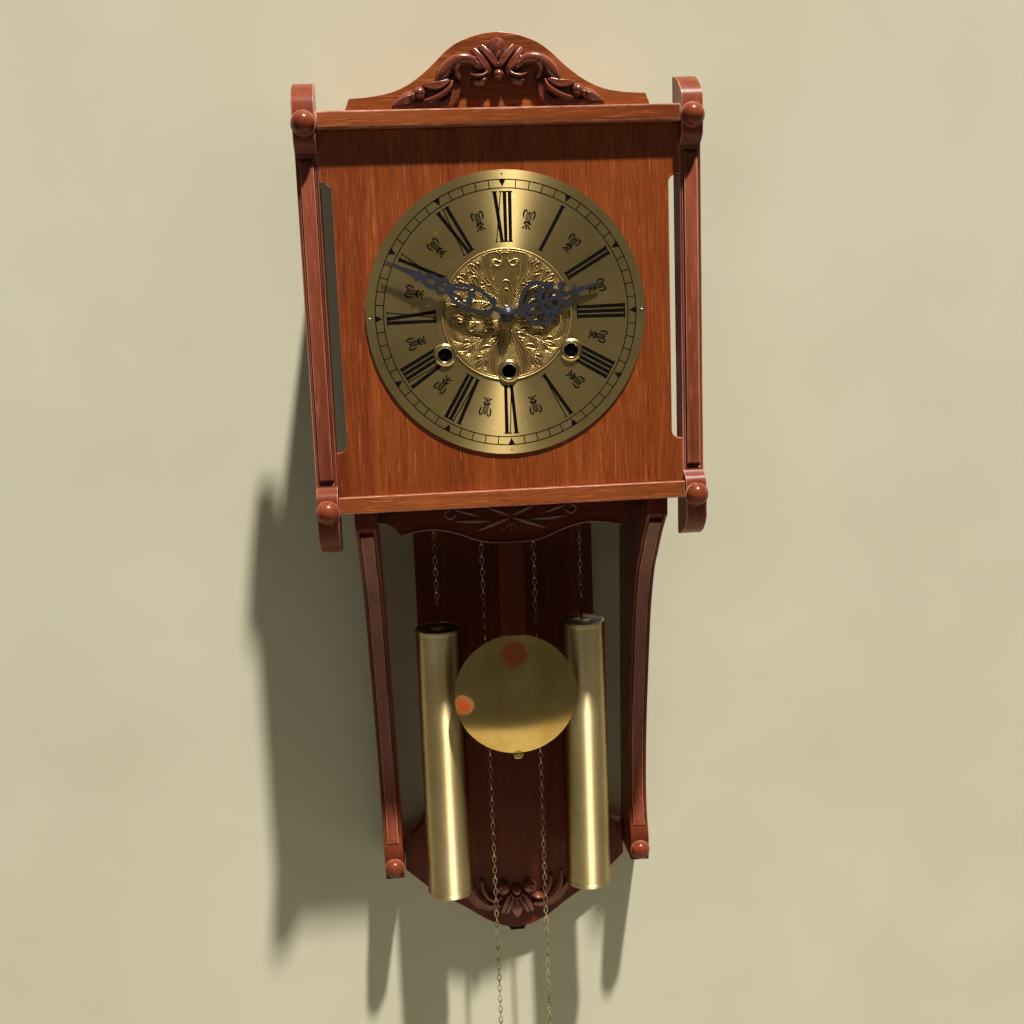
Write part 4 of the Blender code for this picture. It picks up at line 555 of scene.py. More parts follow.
weight_brass = metal(
    "weight_brass", (0.72, 0.58, 0.31), (0.60, 0.46, 0.22), 0.54, 12.0, (0.02, 0.02, 1.0),
    turned_about="Z",
)
bright_brass = metal("bright_brass", (0.74, 0.58, 0.27), (0.58, 0.42, 0.17), 0.22, 60.0)
chain_brass = metal("chain_brass", (0.62, 0.49, 0.28), (0.24, 0.165, 0.07), 0.24, 90.0)
plate_brass = metal("plate_brass", (0.66, 0.52, 0.24), (0.56, 0.42, 0.18), 0.32, 30.0)
steel = metal("steel", (0.46, 0.46, 0.45), (0.34, 0.33, 0.32), 0.30, 60.0)
# Weight caps: dark brass as painted shade, for the caps sit in the case's shade
shade_dark_cap_brass = metal("shade_dark_cap_brass", (0.20, 0.14, 0.07), (0.10, 0.07, 0.03), 0.5, 40.0)
# Near-black iron: real iron on the gong block, and painted shade on the weight hooks
iron = metal("iron", (0.07, 0.07, 0.07), (0.04, 0.035, 0.03), 0.6, 60.0, scratches=0.3)


def dial_brass():
    """Satin brass, spun in rings about the dial's centre, so that light falls on it in a bow."""
    material, tree, shader = new_material("dial_brass")
    place = object_place(tree)
    flat_place = object_place(tree, (1.0, 0.0, 1.0))
    radius = add_node(tree, "ShaderNodeVectorMath", {0: flat_place}, operation="LENGTH").outputs["Value"]
    ring_place = add_node(tree, "ShaderNodeCombineXYZ", {"X": radius}).outputs[0]
    rings = noise(tree, ring_place, 2600.0, 2.0)
    patches = noise(tree, place, 22.0, 5.0, 0.6, 0.4)
    stains = noise(tree, place, 160.0, 3.0, 0.6)
    colour = ramp(tree, patches, ((0.36, (0.39, 0.275, 0.102)), (0.64, (0.47, 0.345, 0.138))))
    colour = tinted_over_span(tree, colour, rings, NOISE_SPAN, 0.3, (0.33, 0.232, 0.086))
    colour = tinted_over_span(tree, colour, stains, (0.66, 0.74), 0.35, (0.68, 0.57, 0.34))
    surface(tree, shader, colour, rings, 0.34, 0.42)
    shader.inputs["Metallic"].default_value = 0.84
    spun(tree, shader, "Y", DIAL_SPUN)
    return material


# Embossed gilt from its sunk places to its raised ones: share of the rise, and colour
RELIEF_TOP = 1.0
GILT_STOPS = (
    (0.16, (0.150, 0.088, 0.026)),
    (0.36, (0.300, 0.185, 0.058)),
    (0.62, (0.600, 0.415, 0.150)),
    (0.92, (0.820, 0.620, 0.270)),
)


def gilt_relief():
    """Embossed gilt brass: bright on the raised lines and grains, brown on the sunk leaves."""
    material, tree, shader = new_material("gilt_relief")
    place = object_place(tree)
    depth = add_node(tree, "ShaderNodeSeparateXYZ", {"Vector": place}).outputs["Y"]
    rise = spread(tree, depth, -DIAL_FRONT, -DIAL_FRONT - RELIEF_TOP * MM, 0.0, 1.0)
    patches = noise(tree, place, 70.0, 4.0)
    colour = tinted_over_span(tree, ramp(tree, rise, GILT_STOPS), patches, (0.35, 0.7), 0.35, (0.36, 0.22, 0.07))
    surface(tree, shader, colour, patches, 0.30, 0.44)
    shader.inputs["Metallic"].default_value = 0.65
    return material


def blued():
    """Blued steel, dulled to slate."""
    material, tree, shader = new_material("blued_steel")
    worn = noise(tree, object_place(tree), 120.0, 4.0)
    colour = ramp(tree, worn, ((0.35, (0.034, 0.034, 0.045)), (0.70, (0.056, 0.056, 0.072))))
    surface(tree, shader, colour, worn, 0.46, 0.36)
    shader.inputs["Metallic"].default_value = 0.5
    return material


# Painted reflections on the bob: across and up from its middle and reach in mm, colour and strength
BOB_PAINTED_REFLECTIONS = (
    (0.0, 37.0, 12.0, (0.95, 0.13, 0.05), 0.75),
    (-18.0, 45.0, 5.0, (0.95, 0.50, 0.10), 0.60),
    (-47.0, -7.0, 9.0, (0.60, 0.085, 0.012), 0.92),
)
REFLECTION_RAGGED = 0.010
REFLECTION_OUTER = 0.0065
REFLECTION_INNER = 0.0025
MATT_METALLIC = 0.25


def bob_brass(middle):
    """Polished brass with painted reflections in red and orange; the last of them is matt and takes the
    light.
    """
    material, tree, shader = new_material("bob_brass")
    place = object_place(tree)
    haze = noise(tree, place, 26.0, 4.0, 0.6)
    specks = noise(tree, place, 620.0, 1.0)
    colour = ramp(tree, haze, ((0.35, (0.66, 0.42, 0.12)), (0.65, (0.90, 0.62, 0.21))))
    ragged = noise(tree, place, 110.0, 3.0, 0.6)
    # Each painted reflection is mixed into the brass with a ragged edge
    for across, up, reach, tint_colour, strength in BOB_PAINTED_REFLECTIONS:
        centre = (middle.x + across * MM, middle.y, middle.z + up * MM)
        offset = add_node(tree, "ShaderNodeVectorMath", {0: place, 1: centre}, operation="DISTANCE")
        terms = {0: ragged, 1: REFLECTION_RAGGED, 2: offset.outputs["Value"]}
        edge = add_node(tree, "ShaderNodeMath", terms, operation="MULTIPLY_ADD").outputs[0]
        span = (reach * MM + REFLECTION_OUTER, reach * MM + REFLECTION_INNER)
        share = spread(tree, edge, *span, 0.0, strength)
        colour = blend(tree, share, colour, tint_colour)
    colour = tinted_over_span(tree, colour, specks, (0.72, 0.76), 0.8, (0.06, 0.035, 0.015))
    surface(tree, shader, colour, haze, 0.16, 0.10)
    tree.links.new(spread(tree, share, 0.0, 1.0, 1.0, MATT_METALLIC), shader.inputs["Metallic"])
    return material


def black_paint():
    """Black dial paint, slightly worn."""
    material, tree, shader = new_material("black_paint")
    worn = noise(tree, object_place(tree), 700.0, 3.0)
    colour = ramp(tree, worn, ((0.45, (0.004, 0.003, 0.003)), (0.80, (0.014, 0.010, 0.006))))
    surface(tree, shader, colour, worn, 0.38, 0.55)
    shader.inputs["Specular IOR Level"].default_value = 0.06
    return material


blued_steel = blued()
satin_dial = dial_brass()
dial_black = black_paint()

# The CAD's own nodes: materials, and fine rounded edges on the boards
node_materials = {
    panel_wood: ["dial_panel"],
    board_wood: ["top_board", "base_shelf", "crest_board"],
    rail_wood: ["left_rail", "right_rail", "backboard", "left_hood_side", "right_hood_side"],
    cross_wood: ["apron", "seat_board"],
    post_wood: ["left_post", "right_post"],
    strip_wood: ["left_post_strip", "right_post_strip"],
    satin_dial: ["dial_plate"],
    bright_brass: ["rating_nut"],
    plate_brass: [
        "front_plate", "back_plate", "hour_wheel", "minute_wheel", "time_great_wheel",
        "third_wheel", "escape_wheel", "time_sprocket", "strike_sprocket",
    ],
    steel: ["minute_arbor", "anchor", "hammer", "gong_coil", "suspension_spring"],
    # The weight hooks take this dark iron as painted shade
    iron: ["gong_block", "left_hook", "right_hook"],
    dial_black: ["wall_stop"],
}
ROUNDED_WOODS = (panel_wood, board_wood, rail_wood, cross_wood, post_wood, strip_wood)
WEAR_AND_HIGHLIGHT_EDGES = (panel_wood, board_wood, post_wood, strip_wood)
EDGE_ROUND = 0.0007
EDGE_SEGMENTS = 2
EDGE_ANGLE = math.radians(40)
FLAT_ANGLE = math.radians(1)
WELD_GAP = 0.000002


def round_edges(piece, material):
    """Fine rounded edges on a board, pale where its wood is out in the light: partly wear, partly a
    painted highlight.
    """
    weld = piece.modifiers.new("weld", "WELD")
    weld.merge_threshold = WELD_GAP
    whole = piece.modifiers.new("whole", "DECIMATE")
    whole.decimate_type = "DISSOLVE"
    whole.angle_limit = FLAT_ANGLE
    edge = piece.modifiers.new("edge", "BEVEL")
    edge.width = EDGE_ROUND
    edge.segments = EDGE_SEGMENTS
    edge.limit_method = "ANGLE"
    edge.angle_limit = EDGE_ANGLE
    edge.harden_normals = True
    # The rounded edges take the pale edge wood: partly wear, partly a painted highlight
    if material in WEAR_AND_HIGHLIGHT_EDGES:
        piece.data.materials.append(wear_and_highlight_wood)
        edge.material = 1


def smooth_faces(mesh):
    """Soft shading across the small steps of a curved face."""
    if "custom_normal" in mesh.attributes:
        mesh.attributes.remove(mesh.attributes["custom_normal"])
    mesh.polygons.foreach_set("use_smooth", [True] * len(mesh.polygons))


for material, names in node_materials.items():
    for name in names:
        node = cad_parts[name]
        node.data.materials.clear()
        node.data.materials.append(material)
        if material in ROUNDED_WOODS:
            smooth_faces(node.data)
            round_edges(node, material)

# Chains of separate links, each on the CAD chain's route
LINK_BENDS = 7
LINK_SIDES = 6


def link_template():
    """One link: a wire bent into a long ring, as (along, across, through) places and faces."""
    line = []
    for end in (1, -1):
        for k in range(LINK_BENDS):
            a = math.pi * (k / (LINK_BENDS - 1) - 0.5)
            along = LINK_HALF_STRAIGHT + LINK_HALF_WIDTH * math.cos(a)
            across = LINK_HALF_WIDTH * math.sin(a)
            line.append((along * end, across * end, math.cos(a) * end, math.sin(a) * end))
    places, faces = [], []
    for along, across, out_along, out_across in line:
        for k in range(LINK_SIDES):
            a = 2 * math.pi * k / LINK_SIDES
            push = LINK_WIRE / 2 * math.cos(a)
            through = LINK_WIRE / 2 * math.sin(a)
            places.append((along + push * out_along, across + push * out_across, through))
    for i in range(len(line)):
        j = (i + 1) % len(line)
        for k in range(LINK_SIDES):
            n = (k + 1) % LINK_SIDES
            corners = ((i, k), (i, n), (j, n), (j, k))
            faces.append(tuple(ring * LINK_SIDES + corner for ring, corner in corners))
    return np.array(places), faces


def chain_mesh(path):
    """Links along a path, each turned a quarter against the one before."""
    path = np.asarray(path, float)
    lengths = np.linalg.norm(np.diff(path, axis=0), axis=1)
    reached = np.concatenate([[0.0], np.cumsum(lengths)])
    count = round(reached[-1] / LINK_PITCH)
    pitch = reached[-1] / count
    template, faces = link_template()
    solids = []
    for k in range(count):
        middle = (k + 0.5) * pitch
        before, after = middle - pitch / 2, middle + pitch / 2
        ends = [[np.interp(s, reached, path[:, i]) for i in range(3)] for s in (before, after)]
        start, stop = map(np.array, ends)
        along = (stop - start) / np.linalg.norm(stop - start)
        depthwise = np.array((0.0, 1.0, 0.0))
        sideways = np.cross(along, depthwise)
        across, through = (depthwise, sideways) if k % 2 else (sideways, depthwise)
        places = template @ np.array([along, across, through]) + (start + stop) / 2
        solids.append((places, faces))
    return joined(solids)


def ring_mesh(centre, radius, wire, steps=28, sides=8):
    """A round wire ring standing in the wall's plane."""
    profile = []
    for k in range(sides):
        a = 2 * math.pi * k / sides
        profile.append((radius + wire * math.cos(a), wire * math.sin(a)))
    return turned_at(profile, steps, toward_front, centre, closed=True)


CHAIN_STEPS = 19
TAIL_STEPS = 52
ARC_STEPS = 10
for side, sign in SIDES:
    rise = CHAIN_TOP_Z - CHAIN_LOW_Z
    route = [
        (WEIGHT_X * sign, -CHAIN_DEPTH, CHAIN_TOP_Z - rise * k / CHAIN_STEPS)
        for k in range(CHAIN_STEPS + 1)
    ]
    links = new_piece(side + "_chain_links", *chain_mesh(route), "case", chain_brass, "polished_brass")
    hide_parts(side + "_chain")
    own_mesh(links)
    tail = []
    for k in range(ARC_STEPS + 1):
        a = math.pi * k / ARC_STEPS
        across = SPROCKET_X + SPROCKET_CHAIN_RADIUS * math.cos(a)
        tail.append((across * sign, -CHAIN_DEPTH, SPROCKET_Z + SPROCKET_CHAIN_RADIUS * math.sin(a)))
    drop = SPROCKET_Z - TAIL_END_Z
    for k in range(1, TAIL_STEPS + 1):
        tail.append((TAIL_X * sign, -CHAIN_DEPTH, SPROCKET_Z - drop * k / TAIL_STEPS))
    links = new_piece(side + "_tail_links", *chain_mesh(tail), "case", chain_brass, "polished_brass")
    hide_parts(side + "_tail")
    ring_place = (TAIL_X * sign, CHAIN_DEPTH, TAIL_END_Z - END_RING_RADIUS)
    ring = new_piece(
        side + "_tail_ring", *ring_mesh(ring_place, END_RING_RADIUS, END_RING_WIRE),
        "case", bright_brass, "polished_brass",
    )

# Crest carving: strokes are (x, z, half-width, height), right half, mirrored by using |x|
CREST_STROKES = (
    ("ridge", ((0, 207.3, 0.3, 3.4), (0, 204.6, 2.7, 4.0), (0, 201.9, 5.1, 4.6), (0, 199.3, 7.2, 5.2),
               (0, 196.2, 5.2, 5.4), (0, 193.1, 3.0, 5.2), (0, 190.2, 0.8, 4.6))),
    ("scoop", ((11.9, 198.6, 2.5, 6.4), (7.4, 193.3, 2.9, 8.6), (3.6, 188.6, 2.8, 9.2),
               (1.4, 185.4, 2.0, 8.0))),
    ("scoop", ((17.7, 196.4, 2.4, 6.2), (13.7, 191.0, 2.9, 8.4), (9.8, 185.8, 2.8, 9.0),
               (6.8, 181.4, 1.9, 7.4))),
    ("swell", ((14.0, 183.8, 2.4, 7.0), (20.0, 189.6, 4.2, 9.4), (28.0, 190.4, 5.2, 10.4),
               (35.4, 186.8, 5.7, 10.2), (40.8, 181.6, 5.6, 9.0), (43.2, 177.4, 4.6, 7.2))),
    ("swell", ((27.6, 188.6, 2.2, 9.2), (30.6, 185.0, 3.3, 9.8), (31.6, 180.6, 3.0, 8.8),
               (29.8, 177.0, 2.2, 7.4))),
    ("swell", ((15.8, 175.2, 5.6, 8.6), (13.2, 175.5, 5.6, 8.8))),
    ("round", ((21.0, 179.3, 1.5, 7.8), (17.4, 177.8, 1.8, 9.8), (12.2, 178.2, 1.8, 10.0),
               (8.4, 180.8, 1.6, 8.6))),
    ("round", ((8.4, 180.8, 1.9, 8.4), (9.9, 183.3, 2.2, 8.6), (12.9, 185.3, 2.4, 8.4),
               (16.5, 187.4, 3.0, 8.8))),
    ("round", ((0, 178.9, 5.0, 10.2), (0.1, 178.9, 5.0, 10.2))),
    ("scoop", ((57.4, 172.0, 1.4, 5.8), (52.5, 171.6, 2.9, 7.8), (45.9, 171.6, 3.2, 8.4),
               (40.5, 173.6, 2.4, 7.6),
               (36.6, 176.3, 1.2, 6.2))),
    ("swell", ((57.1, 161.2, 1.5, 6.0), (50.3, 162.4, 2.4, 7.8), (42.9, 165.6, 2.6, 8.6),
               (37.2, 170.0, 2.4, 8.4),
               (35.2, 174.6, 1.5, 7.0))),
    ("round", ((60.0, 166.8, 5.4, 9.8), (60.1, 166.8, 5.4, 9.8))),
    ("ridge", ((64.8, 165.4, 3.9, 7.0), (69.9, 163.8, 4.6, 7.8), (75.1, 161.6, 3.2, 5.6),
               (80.4, 158.4, 0.9, 3.0))),
    ("flat", ((31.8, 171.4, 3.2, 4.6), (33.6, 164.4, 4.2, 4.4), (37.4, 160.2, 4.6, 4.2))),
    ("flat", ((37.0, 159.0, 3.4, 4.0), (52.0, 158.6, 3.0, 3.8), (66.0, 158.6, 2.8, 3.4),
               (79.0, 157.4, 1.4, 2.6))),
    ("flat", ((38.0, 169.5, 4.5, 2.4), (47.0, 167.0, 4.5, 2.2), (58.0, 166.0, 4.0, 2.2))),
)
CREST_GROOVES = (
    ((32.3, 186.4, 0.7, 1.2), (34.3, 182.7, 0.9, 3.0), (36.0, 176.9, 0.9, 3.4)),
    ((21.0, 177.4, 0.6, 1.0), (17.2, 175.8, 0.8, 1.7), (12.4, 176.2, 0.8, 1.7), (9.0, 178.6, 0.6, 1.0)),
    ((66.0, 168.4, 0.6, 1.2), (66.4, 163.2, 0.6, 1.6)),
)

# Foot carving, on the backboard
FOOT_STROKES = (
    ("round", ((0, -547.3, 5.0, 9.6), (0.1, -547.3, 5.0, 9.6))),
    ("round", ((0, -554.6, 1.6, 7.0), (3.2, -553.8, 1.6, 7.0), (6.2, -550.0, 1.4, 6.4))),
    ("swell", ((12.7, -544.8, 6.6, 8.8), (12.8, -544.8, 6.6, 8.8))),
    ("ridge", ((0, -557.0, 2.8, 6.4), (0, -566.4, 6.3, 8.2), (0, -576.4, 0.9, 4.0))),
    ("scoop", ((4.4, -556.4, 1.7, 6.2), (7.2, -562.4, 2.1, 7.2), (10.2, -569.0, 1.6, 5.2))),
    ("scoop", ((8.0, -553.4, 2.2, 6.4), (11.4, -560.6, 2.6, 7.2), (14.4, -568.4, 1.8, 4.8))),
    ("round", ((14.8, -552.4, 2.2, 6.4), (21.0, -555.4, 2.9, 7.4), (27.6, -551.9, 3.0, 7.6),
               (31.8, -544.4, 2.6, 7.0),
               (33.4, -535.4, 1.8, 5.2))),
    ("ridge", ((28.6, -558.4, 2.4, 5.4), (36.6, -552.6, 3.6, 7.2), (42.4, -544.0, 3.6, 6.8),
               (44.0, -531.6, 1.5, 4.0))),
    ("scoop", ((17.4, -562.4, 2.0, 4.6), (28.0, -562.2, 3.3, 5.8), (38.4, -557.0, 3.6, 6.0),
               (46.4, -548.4, 3.0, 5.2),
               (51.6, -540.6, 1.4, 3.6))),
)
FOOT_GROOVES = (
    ((8.2, -549.8, 0.7, 1.4), (11.2, -548.9, 0.9, 2.2), (15.0, -548.0, 0.9, 2.6),
               (16.4, -544.8, 0.8, 2.2),
     (13.8, -542.8, 0.7, 1.2)),
    ((0.0, -560.0, 0.7, 0.8), (0.0, -573.0, 0.7, 1.0)),
)

# Apron: thin leaves and scrolls, and a bead along the scroll-sawn edge
APRON_STROKES = (
    ("ridge", ((2, -167.6, 0.7, 1.2), (14, -171.2, 2.2, 2.0), (28.5, -177.0, 0.5, 1.0))),
    ("ridge", ((17, -169.4, 0.6, 1.0), (32, -168.6, 1.9, 2.0), (46, -168.0, 0.5, 1.0))),
    ("ridge", ((2, -165, 0.6, 1.0), (10, -161.2, 1.7, 1.8), (20, -157.4, 0.5, 1.0))),
    ("ridge", ((27, -164.6, 0.6, 1.0), (37, -161, 1.8, 1.8), (46.5, -158.4, 0.6, 1.0))),
    ("round", ((46, -162.6, 0.9, 1.2), (50, -165.4, 1.1, 1.6), (54, -163.6, 1.1, 1.6),
               (54.4, -160, 1.0, 1.6), (51.6, -158.8, 1.0, 1.4))),
    ("round", ((1.4, -171.4, 0.5, 0.9), (3.2, -174.8, 0.7, 1.2))),
    ("round", ((6.6, -176.4, 0.9, 1.3), (6.7, -176.5, 0.9, 1.3))),
    ("round", ((0, -172.6, 0.7, 1.1), (0, -177.6, 0.7, 1.2))),
    ("round", ((92, -177.6, 0.5, 0.9), (80, -174.9, 0.8, 1.4), (67, -173.9, 0.9, 1.4),
               (54, -175.6, 0.9, 1.4), (41, -179.6, 0.9, 1.4), (30, -184.1, 0.9, 1.4),
               (20, -186.8, 0.9, 1.4), (10, -187.6, 0.9, 1.4), (0, -187.9, 0.9, 1.4))),
)


STROKE_STEPS = 8
GROOVE_STEPS = 6
GROOVE_FLOOR = 0.3
CARVING_FOOT = BURY + 0.2
CARVING_SHARP = 60.0
CARVING_STEP = 0.32
APRON_STEP = 0.4


def carve(name, strokes, grooves, box, step, face, replaced, material, slot):
    """A carving as one piece on its board, mirrored about the clock's middle."""
    across, up = grid(*box, step)
    side = np.abs(across)
    heights = np.full(across.shape, -BURY)
    for kind, knots in strokes:
        heights = np.maximum(heights, stroke_heights(side, up, knots, kind, STROKE_STEPS))
    for knots in grooves:
        cut = groove_depths(side, up, knots, GROOVE_STEPS)
        heights = np.where(heights > GROOVE_FLOOR, np.maximum(heights - cut, GROOVE_FLOOR), heights)
    mesh = relief_mesh(across, up, softened(heights), face, CARVING_FOOT)
    piece = new_piece(name, *mesh, "case", material, slot, CARVING_SHARP)
    if replaced:
        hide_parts(replaced)


carve(
    "crest_relief", CREST_STROKES, CREST_GROOVES, (-87.0, 87.0, 155.2, 209.0), CARVING_STEP,
    CREST_FACE, "crest_carving", carved_wood, "red_mahogany",
)
carve(
    "foot_relief", FOOT_STROKES, FOOT_GROOVES, (-55.0, 55.0, -578.0, -527.0), CARVING_STEP,
    FOOT_FACE, "foot_carving", painted_sunlit_foot_wood, "red_mahogany",
)
carve(
    "apron_relief", APRON_STROKES, (), (-94.0, 94.0, -188.4, -154.0), APRON_STEP,
    APRON_FACE, None, apron_wood, "dark_mahogany",
)

# Turned knobs, finer than the CAD's, each with a pale ring at its foot: partly wear, partly a painted
# highlight
KNOB_PROFILE = (
    (0.0, 1.02), (0.20, 1.0), (0.44, 0.93), (0.64, 0.81), (0.80, 0.66), (0.92, 0.48),
    (0.985, 0.30), (1.0, 0.15),
)
KNOB_RING = ((1.0, 0.13), (1.07, 0.12), (1.09, 0.08), (1.08, 0.0), (0.0, 0.0))
RING_SHARE = 1.03
KNOB_SWELL = 0.94
RAIL_KNOB_SWELL = 1.06
KNOB_STEPS = 40
KNOB_LINE_STEPS = 3
for name in (
    "upper_left_knob", "upper_right_knob", "lower_left_knob", "lower_right_knob",
    "left_rail_knob", "right_rail_knob",
):
    low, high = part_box(name)
    middle = (low + high) / 2
    swell = RAIL_KNOB_SWELL if name.endswith("rail_knob") else KNOB_SWELL
    radius = (high.z - low.z) / 2 * swell
    line = smooth_line(KNOB_PROFILE, KNOB_LINE_STEPS)
    profile = [(radius * r, radius * h) for r, h in [*line, *KNOB_RING]]
    place = (middle.x, -high.y, middle.z)
    knob = new_piece(
        name + "_turned", *turned_at(profile, KNOB_STEPS, toward_front, place),
        "case", [knob_wood, wear_and_highlight_wood], "red_mahogany",
    )
    # The ring at the knob's foot takes the pale edge wood: partly wear, partly a painted highlight
    for face in knob.data.polygons:
        reach = math.hypot(face.center.x - middle.x, face.center.z - middle.z)
        face.material_index = int(reach > radius * RING_SHARE)
    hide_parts(name)

# Rail strips, reaching down to the foot of the rail
STRIP_END_Z = -0.461
STRIP_REACH = Vector((0.0002, -0.0050, -0.0142))
for side, sign in SIDES:
    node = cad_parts[side + "_rail_strip"]
    vertices = []
    for vertex in node.data.vertices:
        place = node.matrix_world @ vertex.co
        if place.z < STRIP_END_Z:
            place += Vector((-sign * STRIP_REACH.x, STRIP_REACH.y, STRIP_REACH.z))
        vertices.append(place)
    faces = [list(face.vertices) for face in node.data.polygons]
    strip = new_piece(side + "_rail_strip_long", vertices, faces, "case", strip_wood, "red_mahogany")
    round_edges(strip, strip_wood)
    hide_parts(side + "_rail_strip")

# Dial artwork in black, drawn in mm: minute track, Roman numerals and half-hour ornaments
TRACK_INNER = 96.2
TRACK_OUTER = 102.6
TRACK_LINE = 0.38
TRACK_STEPS = 240
NUMERAL_INNER = 55.8
NUMERAL_OUTER = 93.4
MINUTE_TURN = math.radians(6.0)
HOUR_TURN = math.radians(30.0)
PAINT_HALF = 0.00005
PAINT_BACK = DIAL_FRONT - PAINT_HALF
PAINT_FRONT = DIAL_FRONT + PAINT_HALF


def on_dial(outline, angle):
    """A drawn outline, across and outward, turned clockwise from twelve, in metres."""
    sine, cosine = math.sin(angle), math.cos(angle)
    return in_metres((v * sine + u * cosine, v * cosine - u * sine) for u, v in outline)


def painted(outline, angle):
    """A painted patch of a drawn outline at an angle from twelve."""
    return prism(on_dial(outline, angle), PAINT_BACK, PAINT_FRONT)


def track_ring(radius):
    """A painted ring of the minute track, as a closed band."""
    inner, outer = (radius - TRACK_LINE) * MM, (radius + TRACK_LINE) * MM
    rise = PAINT_FRONT - PAINT_BACK
    profile = ((inner, 0.0), (outer, 0.0), (outer, rise), (inner, rise))
    return turned_at(profile, TRACK_STEPS, toward_front, (0.0, PAINT_BACK, 0.0), closed=True)


def bar(u0, v0, u1, v1, w0, w1=None):
    """A straight bar with a half-width at each end."""
    w1 = w0 if w1 is None else w1
    return ribbon_outline([(u0, v0), (u1, v1)], [w0, w1])


# Numeral strokes: places across at the foot and the head, and whether the stroke is thick
LETTERS = {
    "I": (4.0, (((0.0, 0.0), True),)),
    "V": (6.9, (((0.3, -2.2), True), ((0.5, 2.7), False))),
    "X": (7.0, (((2.3, -2.3), True), ((-2.5, 2.5), False))),
}
THICK = 1.42
THIN = 0.42
SERIF = 0.42
SERIF_REACH = 0.70
FOOT_SHARE = 0.90


def numeral(text, angle):
    """A Roman numeral, upright with its head outward."""
    width = sum(LETTERS[letter][0] for letter in text)
    start = -width / 2
    patches = []
    for letter in text:
        advance, strokes = LETTERS[letter]
        middle = start + advance / 2
        start += advance
        for (foot, head), thick in strokes:
            half = THICK if thick else THIN
            low = (middle + foot) * FOOT_SHARE
            high = middle + head
            patches.append(bar(low, NUMERAL_INNER, high, NUMERAL_OUTER, half * FOOT_SHARE, half))
            for u, v, share in ((low, NUMERAL_INNER, FOOT_SHARE), (high, NUMERAL_OUTER, 1.0)):
                reach = (half + SERIF_REACH) * share
                patches.append(bar(u - reach, v, u + reach, v, SERIF))
    return [painted(patch, angle) for patch in patches]


NUMERALS = ("XII", "I", "II", "III", "IIII", "V", "VI", "VII", "VIII", "IX", "X", "XI")
ORNAMENT_STEM = 71.6
ORNAMENT_STEPS = 5
ORNAMENT = (
    ((1.5, 0.8, 0.36), (1.7, 4.4, 0.40), (1.9, 7.6, 0.44), (2.9, 9.4, 0.50), (4.0, 8.8, 0.60),
     (4.4, 6.8, 0.66), (4.0, 4.6, 0.56), (3.2, 2.9, 0.20)),
    ((0.50, 0.4, 0.34), (0.62, 5.0, 0.34), (0.45, 8.6, 0.50)),
    ((0.0, 0.7, 0.80), (1.6, 0.2, 0.80), (2.9, -1.0, 0.50)),
    ((0.0, -0.9, 0.40), (0.0, -4.9, 0.62)),
    ((0.9, -0.9, 0.40), (1.4, -2.9, 0.46), (2.5, -4.1, 0.56), (3.4, -3.8, 0.40)),
)
MINUTE_MARK = bar(0.0, TRACK_INNER, 0.0, TRACK_OUTER, TRACK_LINE)
HOUR_MARK = ((0.0, TRACK_INNER + 0.9), (2.7, TRACK_OUTER), (-2.7, TRACK_OUTER))
POINTER = ((0.0, 105.6), (0.8, 107.2), (-0.8, 107.2))
patches = [track_ring(TRACK_INNER), track_ring(TRACK_OUTER)]
for minute in range(60):
    patches.append(painted(MINUTE_MARK if minute % 5 else HOUR_MARK, MINUTE_TURN * minute))
for hour, text in enumerate(NUMERALS):
    patches += numeral(text, HOUR_TURN * hour)
    angle = HOUR_TURN * (hour + 0.5)
    for knots in ORNAMENT:
        for mirror in (1, -1):
            placed = [(u * mirror, v + ORNAMENT_STEM, half) for u, v, half in knots]
            line = smooth_line(placed, ORNAMENT_STEPS)
            patches.append(painted(ribbon_outline(line[:, :2], line[:, 2]), angle))
for angle in (0.0, math.pi):
    patches.append(painted(POINTER, angle))
new_piece("dial_artwork", *joined(patches), "case", dial_black, "black_stop")

PIN_PROFILE = ((0.0, 0.8), (0.5, 0.7), (0.85, 0.4), (1.0, 0.0), (1.0, -0.2), (0.0, -0.2))
PIN_STEPS = 16
PIN_X = 0.107
pins = [
    turned_at(in_metres(PIN_PROFILE), PIN_STEPS, toward_front, (x, DIAL_FRONT, 0.0))
    for x in (-PIN_X, PIN_X)
]
new_piece("dial_pins", *joined(pins), "case", bright_brass, "polished_brass")

# Embossed dial centre: sunk leaves with raised outlines and a bare shield, on a grained ground
CENTRE_RADIUS = 51.4
CENTRE_STEP = 0.30
CENTRE_FLOOR = 0.10
CENTRE_FOOT = -0.02
CENTRE_SHARP = 80.0
GROUND = 0.54
GRAIN_DEPTH = 0.60
LEAF_FLOOR = 0.26
LEAF_LINE = 0.95
LEAF_DITCH = 0.10
LINE_INSET = 0.35
LINE_SPREAD = 0.22
DITCH_WIDTH = 0.5
LEAF_STEPS = 6
ARBOR_CLEARANCE = 5.8
COLLAR_CLEARANCE = 8.6

# Raised rims about the centre: radius, spread and rise
RIM_START = 48.4
RIMS = ((50.7, 0.45, 0.80), (49.0, 0.30, 0.60))

# A leaf's places along its length: share of the length, share of the turn, share of the half-width
LEAF_FORM = ((0.0, 1.0, 0.30), (0.35, 1.0, 0.85), (0.68, 0.84, 0.95), (1.0, 0.62, 0.12))
LEAF_HALF = 2.3
LEAF_TURN = 0.95
LEAF_TAPER = 0.70
LONGEST_SHARE = 0.40
FIRST_PAIR = 0.35
STEM_HALF = 0.62
STEM_STEPS = 12
TIP_HALVES = (0.6, 2.875, 0.25)
TIP_POINTS = 10
TIP_REACH = 0.9


